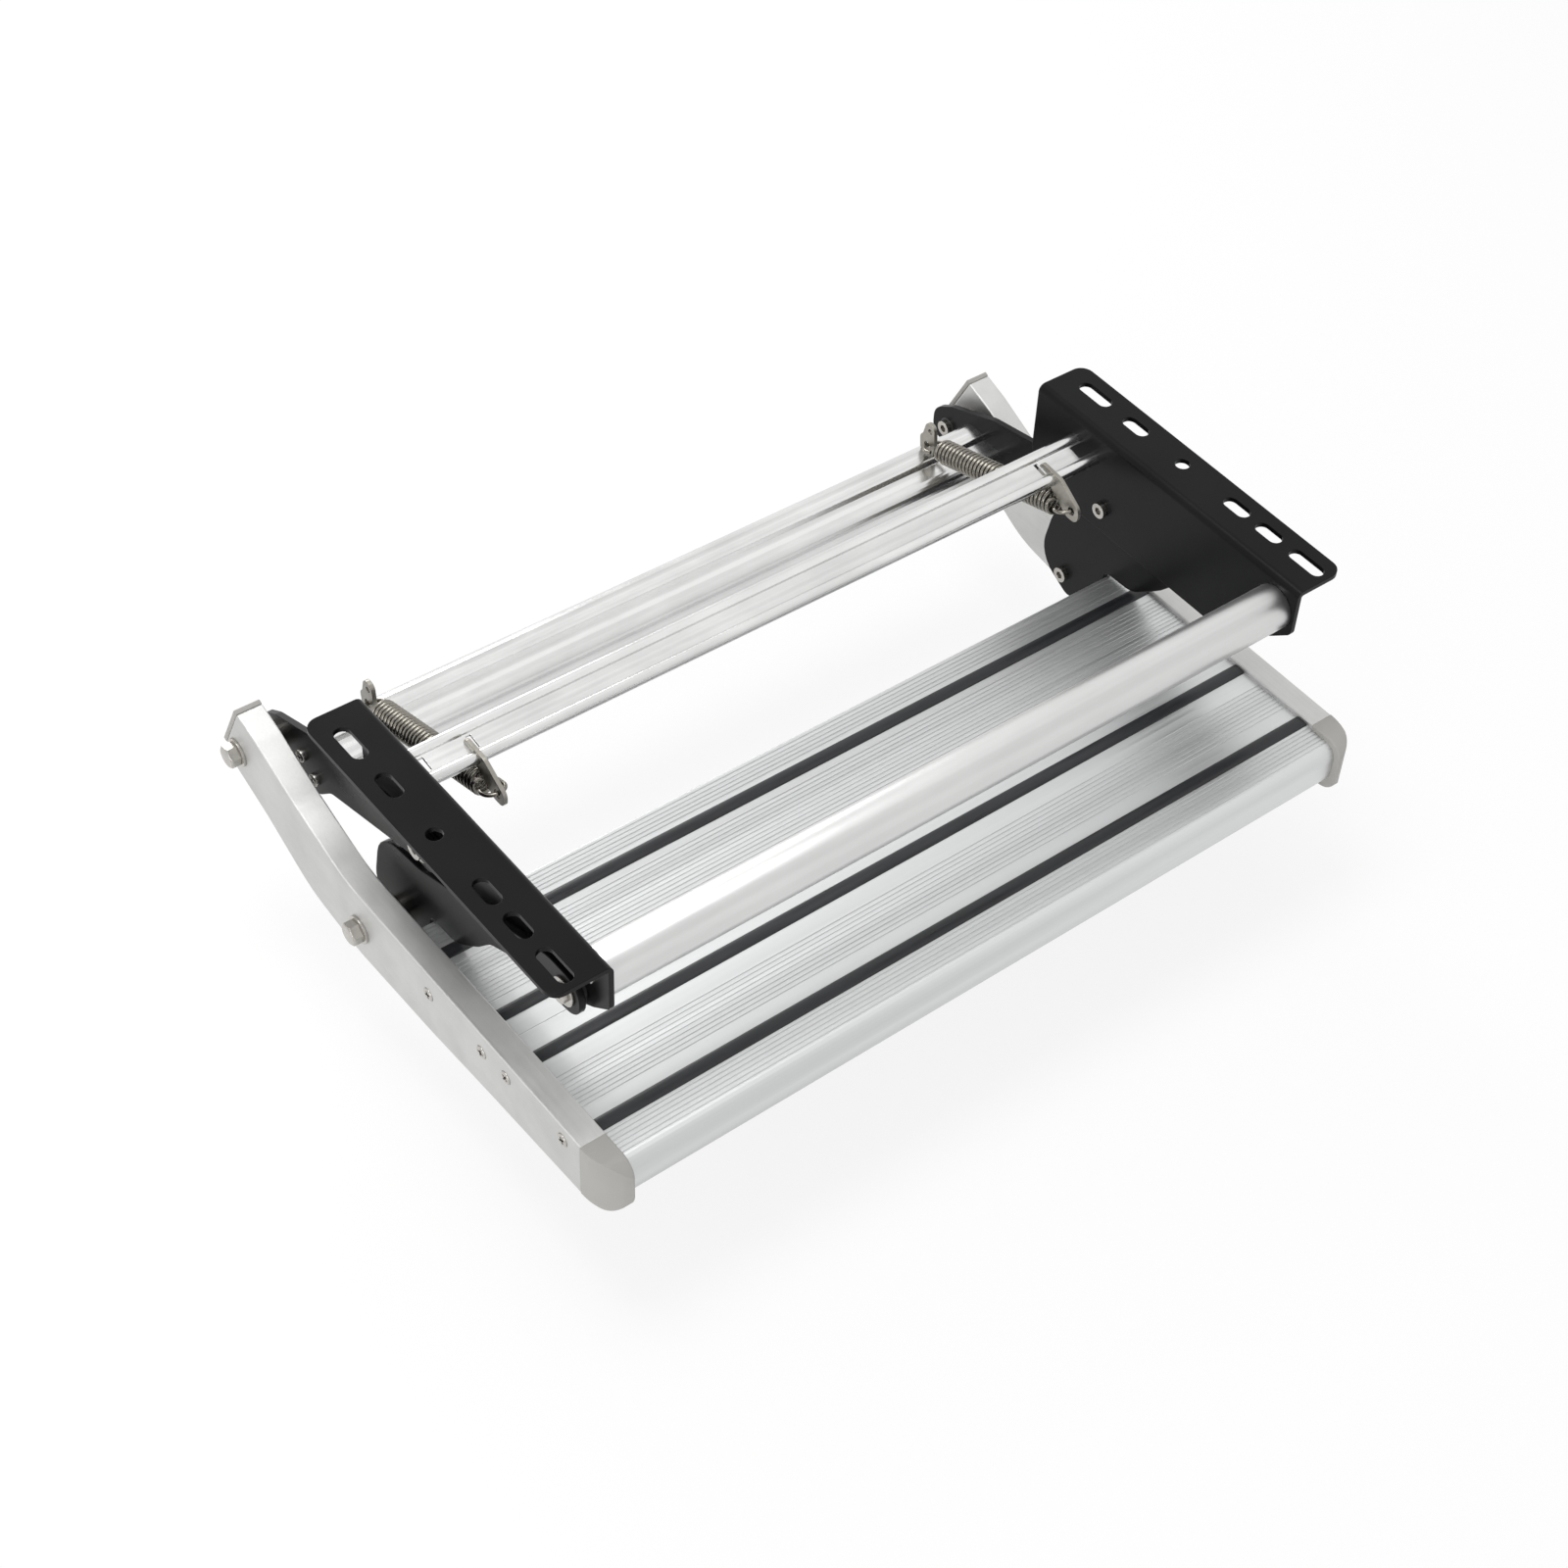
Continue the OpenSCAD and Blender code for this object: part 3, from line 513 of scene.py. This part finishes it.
class StepSizes(bpy.types.PropertyGroup):
    """Sizes of the details."""

    paint_edge: FloatProperty(name="Plate edges",
                              description="Rounding of plates, strips and tube ends",
                              default=0.0005, min=0, max=0.001, unit="LENGTH")
    tube_wall: FloatProperty(name="Tube wall", description="Wall of the front tube",
                             default=0.002, min=0.0015, max=0.003, unit="LENGTH")
    tube_open: FloatProperty(name="Tube depth", description="Depth of the front tube's open ends",
                             default=0.02, min=0.005, max=0.05, unit="LENGTH")
    arm_edge: FloatProperty(name="Outer arm edges",
                            description="Rounding of the outer edges of arms and nose caps",
                            default=0.0034, min=0.0005, max=0.005, unit="LENGTH")
    arm_inner: FloatProperty(name="Inner arm edges",
                             description="Rounding of the arms' inner edges",
                             default=0.0008, min=0.0002, max=0.0015, unit="LENGTH")
    cap_inner: FloatProperty(name="Inner cap edges",
                             description="Rounding of the nose caps' inner edges",
                             default=0.001, min=0.0002, max=0.0015, unit="LENGTH")
    head_edge: FloatProperty(name="Fastener edges",
                             description="Rounding of bolts, nuts, washers, spacers and pins",
                             default=0.00025, min=0.0001, max=0.0004, unit="LENGTH")
    wire: FloatProperty(name="Spring wire", description="Diameter of the spring wire",
                        default=0.0024, min=0.002, max=0.0026, unit="LENGTH")
    coil: FloatProperty(name="Spring diameter", description="Outer diameter of the springs",
                        default=0.0155, min=0.014, max=0.0165, unit="LENGTH")
    hook: FloatProperty(name="Hook length",
                        description="From the last turn to the middle of the hook's hole",
                        default=0.0155, min=0.015, max=0.017, unit="LENGTH")
    rise: FloatProperty(name="Hook rise",
                        description="Length over which the wire turns into the hook",
                        default=0.0045, min=0.003, max=0.006, unit="LENGTH")
    screw_head: FloatProperty(name="Screw heads", description="Radius of the cross-recess heads",
                              default=0.0038, min=0.003, max=0.004, unit="LENGTH")
    screw_dome: FloatProperty(name="Screw domes", description="How far countersunk heads stand out",
                              default=0.0007, min=0.0002, max=0.001, unit="LENGTH")
    cross_long: FloatProperty(name="Cross length", description="Length of the cross cut in a head",
                              default=0.0046, min=0.003, max=0.005, unit="LENGTH")
    cross_wide: FloatProperty(name="Cross width", description="Width of the cross cut in a head",
                              default=0.0012, min=0.0006, max=0.0014, unit="LENGTH")
    cross_deep: FloatProperty(name="Cross depth", description="Depth of the cross cut in a head",
                              default=0.0018, min=0.001, max=0.0022, unit="LENGTH")
    turns: IntProperty(name="Turns", description="Turns of each spring", default=31, min=29, max=33)
    segments: IntProperty(name="Segments", description="Segments of each rounding",
                          default=3, min=1, max=6)


class StepStage(bpy.types.PropertyGroup):
    """Light and floor."""

    sky: FloatProperty(name="Sky", description="Strength of the light from all round",
                       default=0.6, min=0, max=2)
    key: FloatProperty(name="Main light", description="Power of the light over the step",
                       default=16, min=0, max=200, unit="POWER")
    side: FloatProperty(name="Side light", description="Power of the light on the near side",
                        default=8, min=0, max=200, unit="POWER")
    back: FloatProperty(name="Back light", description="Power of the light behind the step",
                        default=10, min=0, max=200, unit="POWER")
    drop: FloatProperty(name="Floor drop", description="Room under the stowed step for its way out",
                        default=0.068, min=0, max=1, unit="LENGTH")
    floor: FloatVectorProperty(name="Floor", description="Colour of the floor",
                               subtype="COLOR", default=(0.98, 0.98, 0.98), min=0, max=1)


# Operators


class STEP_OT_brackets(bpy.types.Operator):
    """Black painted brackets and links with soft edges"""

    bl_idname = "caravan_step.brackets"
    bl_label = "Painted plates"

    def execute(self, context):
        sizes = context.scene.step_sizes
        paint = black_paint(context.scene.step_finishes.paint)
        plates = named("bracket", "rear_link", "front_link")
        dress(plates, paint)
        for node in plates:
            softened(node, node + "_painted", sizes.paint_edge, sizes.segments,
                     paint)
        return {"FINISHED"}


def drawn_tube(node, sizes):
    """A round tube along X in a node's place, open at both ends, with broken end edges."""
    low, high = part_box(node)
    middle = (low + high) / 2
    radius = (high.z - low.z) / 2
    half = (high.x - low.x) / 2
    deselect_all()
    bpy.ops.mesh.primitive_cylinder_add(vertices=TUBE_SIDES, radius=radius, depth=2 * half,
                                        location=middle, rotation=(0, math.pi / 2, 0))
    tube = bpy.context.object
    bpy.ops.object.transform_apply(location=True, rotation=True, scale=True)
    round_edges(tube, lambda edge: edge.calc_face_angle() > CREASE,
                sizes.paint_edge, SMALL_SEGMENTS)
    for side in (-1, 1):
        bpy.ops.object.mode_set(mode="EDIT")
        bpy.ops.mesh.select_mode(type="FACE")
        bpy.ops.mesh.select_all(action="DESELECT")
        mesh = bmesh.from_edit_mesh(tube.data)
        for face in mesh.faces:
            at_end = abs(face.calc_center_median().x - side * half) < MM
            face.select = at_end and face.normal.x * side > END_FACING
        bmesh.update_edit_mesh(tube.data)
        bpy.ops.mesh.inset(thickness=sizes.tube_wall - sizes.paint_edge)
        inwards = (-side * sizes.tube_open, 0, 0)
        bpy.ops.mesh.extrude_region_move(TRANSFORM_OT_translate={"value": inwards})
        bpy.ops.object.mode_set(mode="OBJECT")
    bpy.ops.object.shade_smooth_by_angle(angle=SHARP)
    return tube


class STEP_OT_bars(bpy.types.Operator):
    """Front tube, rear crossbar and tie bar in bright aluminium"""

    bl_idname = "caravan_step.bars"
    bl_label = "Bars"

    def execute(self, context):
        tint = context.scene.step_finishes.bar
        # Both finishes paint reflection bands into the colour: strong ones on the bright bars,
        # faint ones on the satin tube
        bright = drawn_aluminium("bright_aluminium", tint, dark=0.84, light=1.22,
                                 low=0.17, high=0.25)
        satin = drawn_aluminium("satin_aluminium", tint, dark=0.90, light=1.04,
                                low=0.32, high=0.38)
        dress(["rear_crossbar", "tie_bar"], bright)
        dress(["front_tube"], satin)
        finished(drawn_tube("front_tube", context.scene.step_sizes), "front_tube_drawn", "frame",
                 satin, ["front_tube"])
        return {"FINISHED"}


class STEP_OT_arms(bpy.types.Operator):
    """Side arms with soft edges, the right one as the left one's mirror image"""

    bl_idname = "caravan_step.arms"
    bl_label = "Side arms"

    def execute(self, context):
        sizes = context.scene.step_sizes
        metal = anodised_arm(context.scene.step_finishes.arm)
        dress(named("side_arm"), metal)
        low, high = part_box("side_arm_left")
        inner, outer = sorted((abs(low.x), abs(high.x)))
        for node in named("side_arm"):
            piece = merged_copy("side_arm_left", node + "_rounded")
            round_edges(piece, lambda edge: outline_edge(edge, outer),
                        sizes.arm_edge, 2 * sizes.segments)
            round_edges(piece, lambda edge: outline_edge(edge, inner),
                        sizes.arm_inner, sizes.segments)
            if node == "side_arm_right":
                mirrored(piece)
            smooth_shaded(piece)
            finished(piece, piece.name, "step", metal, [node])
        return {"FINISHED"}


class STEP_OT_tread(bpy.types.Operator):
    """Tread planks and rubber strips"""

    bl_idname = "caravan_step.tread"
    bl_label = "Tread"

    def execute(self, context):
        colours = context.scene.step_finishes
        sizes = context.scene.step_sizes
        rubber = black_rubber(colours.rubber)
        dress(["tread_plank_rear", "tread_plank_front"], anodised_tread(colours.plank))
        dress(STRIPS, rubber)
        for node in STRIPS:
            softened(node, node + "_moulded", sizes.paint_edge, sizes.segments,
                     rubber)
        return {"FINISHED"}


class STEP_OT_caps(bpy.types.Operator):
    """Grey plastic caps on both ends of the arms"""

    bl_idname = "caravan_step.caps"
    bl_label = "End caps"

    def execute(self, context):
        sizes = context.scene.step_sizes
        plastic = grey_plastic(context.scene.step_finishes.cap)
        dress(named("front_end_cap", "rear_end_cap"), plastic)
        for node in named("front_end_cap"):
            low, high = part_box(node)
            inner = min(abs(low.x), abs(high.x))
            joint = high.y

            def free(edge):
                on_joint = all(abs(v.co.y - joint) < ON_PLANE for v in edge.verts)
                return not on_joint and edge.calc_face_angle() > CREASE

            def outside(edge):
                return free(edge) and any(abs(abs(v.co.x) - inner) > ON_PLANE for v in edge.verts)

            def inside(edge):
                return free(edge) and all(abs(abs(v.co.x) - inner) < ON_PLANE for v in edge.verts)

            piece = merged_copy(node, node + "_moulded")
            round_edges(piece, outside, sizes.arm_edge, 2 * sizes.segments)
            round_edges(piece, inside, sizes.cap_inner, sizes.segments)
            smooth_shaded(piece)
            finished(piece, piece.name, "step", plastic, [node])
        for node in named("rear_end_cap"):
            softened(node, node + "_moulded", sizes.paint_edge, sizes.segments,
                     plastic)
        return {"FINISHED"}


def cross_screw(sizes, top, dome):
    """One screw along X, the top of its rounded head at a height over the origin."""
    deselect_all()
    low = top - PAN_HEIGHT
    bpy.ops.mesh.primitive_cylinder_add(vertices=HEAD_SIDES, radius=sizes.screw_head,
                                        depth=PAN_HEIGHT, location=((top + low) / 2, 0, 0),
                                        rotation=(0, math.pi / 2, 0))
    head = bpy.context.object
    bpy.ops.object.transform_apply(location=True, rotation=True, scale=True)
    round_edges(head, lambda edge: all(v.co.x > top - ON_PLANE for v in edge.verts),
                dome, DOME_SEGMENTS)
    for turn in (0, math.pi / 2):
        deselect_all()
        bar = (2 * sizes.cross_deep, sizes.cross_long, sizes.cross_wide)
        bpy.ops.mesh.primitive_cube_add(size=1, location=(top, 0, 0), rotation=(turn, 0, 0),
                                        scale=bar)
        cutter = bpy.context.object
        cut = head.modifiers.new("cross", "BOOLEAN")
        cut.object = cutter
        cut.operation = "DIFFERENCE"
        only(head)
        bpy.ops.object.modifier_apply(modifier=cut.name)
        only(cutter)
        bpy.ops.object.delete()
    deselect_all()
    bpy.ops.mesh.primitive_cylinder_add(vertices=SHANK_SIDES, radius=SHANK_RADIUS,
                                        depth=SHANK_LENGTH,
                                        location=(low - SHANK_LENGTH / 2, 0, 0),
                                        rotation=(0, math.pi / 2, 0))
    bpy.ops.object.transform_apply(location=True, rotation=True, scale=True)
    head.select_set(True)
    bpy.context.view_layer.objects.active = head
    bpy.ops.object.join()
    return head


def driven_screws(node, places, sunk, sizes, material):
    """Screws in both sides of the step, each turned to its own angle, joined into one piece."""
    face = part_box(node)[1].x
    dome = sizes.screw_dome if sunk else PAN_DOME
    first = cross_screw(sizes, sizes.screw_dome if sunk else 0, dome)
    made = []
    for count, (y, z) in enumerate(places):
        for side in (-1, 1):
            only(first)
            bpy.ops.object.duplicate()
            copy = bpy.context.object
            copy.location = (side * face, y * MM, z * MM)
            copy.rotation_euler = (FIRST_TURN + NEXT_TURN * count, 0, (1 - side) * math.pi / 2)
            bpy.ops.object.transform_apply(location=True, rotation=True, scale=True)
            made.append(copy)
    only(first)
    bpy.ops.object.delete()
    only(made[0])
    for copy in made[1:]:
        copy.select_set(True)
    bpy.ops.object.join()
    bpy.ops.object.shade_smooth_by_angle(angle=SHARP)
    return finished(made[0], node + "_driven", NODES[node]["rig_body"],
                    material, [node])


class STEP_OT_fasteners(bpy.types.Operator):
    """Bolts, screws, washers, spacers and bushes"""

    bl_idname = "caravan_step.fasteners"
    bl_label = "Fasteners"

    def execute(self, context):
        colours = context.scene.step_finishes
        sizes = context.scene.step_sizes
        steel = stainless("bright_fasteners", colours.fastener, low=0.16, high=0.32,
                          scale=(500, 500, 500))
        dress([*FASTENERS, *SCREWS], steel)
        for node in FASTENERS:
            softened(node, node + "_turned", sizes.head_edge, SMALL_SEGMENTS,
                     steel, HEAD_CREASE)
        for node, (places, sunk) in SCREWS.items():
            driven_screws(node, places, sunk, sizes, steel)
        dress(BUSHES, bush_plastic(colours.bush))
        return {"FINISHED"}


def spring_half(sizes, length):
    """Centre line of half a spring as (along, across, square) from its middle to the hook's tip."""
    radius = (sizes.coil - sizes.wire) / 2
    wound = length - 2 * sizes.hook
    pitch = wound / sizes.turns
    last = sizes.turns * math.pi
    points = []
    for i in range(sizes.turns * COIL_STEPS // 2):
        angle = i * 2 * math.pi / COIL_STEPS
        points.append((pitch * angle / 2 / math.pi, radius * math.cos(angle),
                       radius * math.sin(angle)))
    for i in range(RISE_STEPS + 1):
        part = i / RISE_STEPS
        angle = last + math.pi * part
        points.append((wound / 2 + pitch / 2 * part + (sizes.rise - pitch / 2) * part * part,
                       radius * math.cos(angle), radius * math.sin(angle) * (1 - part)))
    side = -math.cos(last)
    for i in range(1, LOOP_STEPS + 1):
        angle = i * HOOK_TURN / LOOP_STEPS
        points.append((length / 2 - radius + radius * math.sin(angle),
                       side * radius * math.cos(angle), 0))
    return points


def wound_spring(name, x, sizes, material):
    """One unbroken wire wound along a formula, from hook tip to hook tip."""
    run = Vector(HOOK_REAR) - Vector(HOOK_FRONT)
    length = run.length * MM
    half = spring_half(sizes, length)
    line = [(-a, b, -c) for a, b, c in reversed(half[1:])] + half
    middle = (Vector(HOOK_FRONT) + Vector(HOOK_REAR)) / 2 * MM
    along, square = run.normalized(), Vector((-run.y, run.x)).normalized()
    curve = bpy.data.curves.new(name, "CURVE")
    curve.dimensions = "3D"
    curve.bevel_depth = sizes.wire / 2
    curve.bevel_resolution = WIRE_RESOLUTION
    curve.use_fill_caps = True
    spline = curve.splines.new("POLY")
    spline.points.add(len(line) - 1)
    for point, (a, b, c) in zip(spline.points, line):
        place = middle + along * a + square * c
        point.co = (x + b, place.x, place.y, 1)
    piece = bpy.data.objects.new(name, curve)
    bpy.context.scene.collection.objects.link(piece)
    only(piece)
    bpy.ops.object.convert(target="MESH")
    piece = bpy.context.object
    bpy.ops.object.mode_set(mode="EDIT")
    bpy.ops.mesh.select_all(action="SELECT")
    bpy.ops.mesh.remove_doubles(threshold=WIRE_MERGE)
    bpy.ops.mesh.normals_make_consistent(inside=False)
    bpy.ops.object.mode_set(mode="OBJECT")
    bpy.ops.object.shade_smooth_by_angle(angle=WIRE_SHARP)
    return piece


class STEP_OT_springs(bpy.types.Operator):
    """Tension springs with their hangers and eye plates"""

    bl_idname = "caravan_step.springs"
    bl_label = "Springs"

    def execute(self, context):
        colours = context.scene.step_finishes
        sizes = context.scene.step_sizes
        plate = stainless("plated_steel", colours.plate, low=0.3, high=0.45,
                          scale=(120, 900, 900))
        wire = stainless("spring_steel", colours.wire, low=0.18, high=0.3, scale=(600, 600, 600))
        dress(named("spring_hanger", "spring_eye"), plate)
        dress(named("spring"), wire)
        for node in named("spring_hanger", "spring_eye"):
            softened(node, node + "_pressed", sizes.paint_edge, SMALL_SEGMENTS,
                     plate)
        for node in named("spring"):
            low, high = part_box(node)
            piece = wound_spring(node + "_wound", (low.x + high.x) / 2, sizes, wire)
            finished(piece, node + "_wound", "springs", wire, [node])
        return {"FINISHED"}


class STEP_OT_stage(bpy.types.Operator):
    """Pale floor, soft light and the camera"""

    bl_idname = "caravan_step.stage"
    bl_label = "Stage"

    def execute(self, context):
        stage = context.scene.step_stage
        low, high = CAD_BOX
        middle = (low + high) / 2
        deselect_all()
        bpy.ops.mesh.primitive_plane_add(size=FLOOR_SIZE,
                                         location=(middle.x, middle.y, low.z - stage.drop))
        floor = bpy.context.object
        floor.name = "studio_floor"
        floor.data.materials.append(floor_material(stage.floor))
        for name, place, size, power in LAMPS:
            soft_light(name, place, middle, size, getattr(stage, power))
        sky(context.scene, stage.sky)
        camera(context.scene)
        context.scene.view_settings.view_transform = "Standard"
        return {"FINISHED"}


def seen_directly(tree):
    """1 for rays that come from the camera, a reflection or glass."""
    path = tree.nodes.new("ShaderNodeLightPath")
    total = path.outputs["Is Camera Ray"]
    for name in ("Is Glossy Ray", "Is Transmission Ray"):
        joined = tree.nodes.new("ShaderNodeMath")
        joined.operation = "MAXIMUM"
        tree.links.new(total, joined.inputs[0])
        tree.links.new(path.outputs[name], joined.inputs[1])
        total = joined.outputs[0]
    return total


def floor_material(colour):
    """Pale floor that shows nearly white and keeps the shadow."""
    made = bpy.data.materials.new("studio_floor")
    made.use_nodes = True
    tree = made.node_tree
    shader = tree.nodes["Principled BSDF"]
    shader.inputs["Base Color"].default_value = (*colour, 1)
    shader.inputs["Roughness"].default_value = 1
    shader.inputs["Specular IOR Level"].default_value = 0
    glow = tree.nodes.new("ShaderNodeEmission")
    glow.inputs["Color"].default_value = WHITE
    glow.inputs["Strength"].default_value = 1
    share = tree.nodes.new("ShaderNodeMath")
    share.operation = "MULTIPLY"
    share.inputs[1].default_value = FLOOR_GLOW
    tree.links.new(seen_directly(tree), share.inputs[0])
    mix = tree.nodes.new("ShaderNodeMixShader")
    tree.links.new(share.outputs[0], mix.inputs["Fac"])
    tree.links.new(shader.outputs["BSDF"], mix.inputs[1])
    tree.links.new(glow.outputs["Emission"], mix.inputs[2])
    tree.links.new(mix.outputs["Shader"], tree.nodes["Material Output"].inputs["Surface"])
    return made


def soft_light(name, place, target, size, power):
    """Round lamp that looks at the target."""
    deselect_all()
    bpy.ops.object.light_add(type="AREA", location=place)
    lamp = bpy.context.object
    lamp.name = name
    lamp.data.shape = "DISK"
    lamp.data.size = size
    lamp.data.energy = power
    lamp.rotation_euler = (Vector(target) - Vector(place)).to_track_quat("-Z", "Y").to_euler()


def sky(scene, strength):
    """Even light from all round, seen as plain white."""
    world = bpy.data.worlds.new("studio")
    scene.world = world
    world.use_nodes = True
    tree = world.node_tree
    light = tree.nodes["Background"]
    light.inputs["Color"].default_value = WHITE
    light.inputs["Strength"].default_value = strength
    white = tree.nodes.new("ShaderNodeBackground")
    white.inputs["Color"].default_value = WHITE
    white.inputs["Strength"].default_value = 1
    mix = tree.nodes.new("ShaderNodeMixShader")
    tree.links.new(seen_directly(tree), mix.inputs["Fac"])
    tree.links.new(light.outputs["Background"], mix.inputs[1])
    tree.links.new(white.outputs["Background"], mix.inputs[2])
    tree.links.new(mix.outputs["Shader"], tree.nodes["World Output"].inputs["Surface"])


def camera(scene):
    """Camera at the picture's angle, framed for a square picture."""
    deselect_all()
    bpy.ops.object.camera_add(location=CAMERA_PLACE)
    made = bpy.context.object
    made.name = "step_camera"
    made.rotation_mode = "QUATERNION"
    made.rotation_quaternion = Matrix(CAMERA_TURN).to_quaternion()
    made.data.sensor_width = SENSOR_WIDTH
    made.data.lens = FOCAL_PIXELS / PICTURE_WIDTH * SENSOR_WIDTH
    made.data.shift_x = (PICTURE_WIDTH / 2 - PICTURE_CENTRE[0]) / PICTURE_WIDTH
    made.data.shift_y = (PICTURE_CENTRE[1] - PICTURE_WIDTH / 2) / PICTURE_WIDTH
    made.data.clip_start = CLIP_NEAR
    made.data.clip_end = CLIP_FAR
    scene.camera = made


class STEP_PT_panel(bpy.types.Panel):
    """Lists the operators and settings of the step"""

    bl_idname = "STEP_PT_panel"
    bl_label = "Pull out step"
    bl_space_type = "VIEW_3D"
    bl_region_type = "UI"
    bl_category = "Step"

    def draw(self, context):
        for operator in OPERATORS:
            self.layout.operator(operator.bl_idname)
        scene = context.scene
        for group in (scene.step_finishes, scene.step_sizes, scene.step_stage):
            box = self.layout.box()
            for name in group.__annotations__:
                box.prop(group, name)


OPERATORS = (STEP_OT_brackets, STEP_OT_bars, STEP_OT_arms, STEP_OT_tread, STEP_OT_caps,
             STEP_OT_fasteners, STEP_OT_springs, STEP_OT_stage)
CLASSES = (StepFinishes, StepSizes, StepStage, *OPERATORS, STEP_PT_panel)


def register():
    for made in CLASSES:
        bpy.utils.register_class(made)
    bpy.types.Scene.step_finishes = PointerProperty(type=StepFinishes)
    bpy.types.Scene.step_sizes = PointerProperty(type=StepSizes)
    bpy.types.Scene.step_stage = PointerProperty(type=StepStage)


def unregister():
    del bpy.types.Scene.step_stage
    del bpy.types.Scene.step_sizes
    del bpy.types.Scene.step_finishes
    for made in reversed(CLASSES):
        bpy.utils.unregister_class(made)


def main():
    register()
    for operator in OPERATORS:
        group, name = operator.bl_idname.split(".")
        getattr(getattr(bpy.ops, group), name)()


if __name__ == "__main__":
    main()
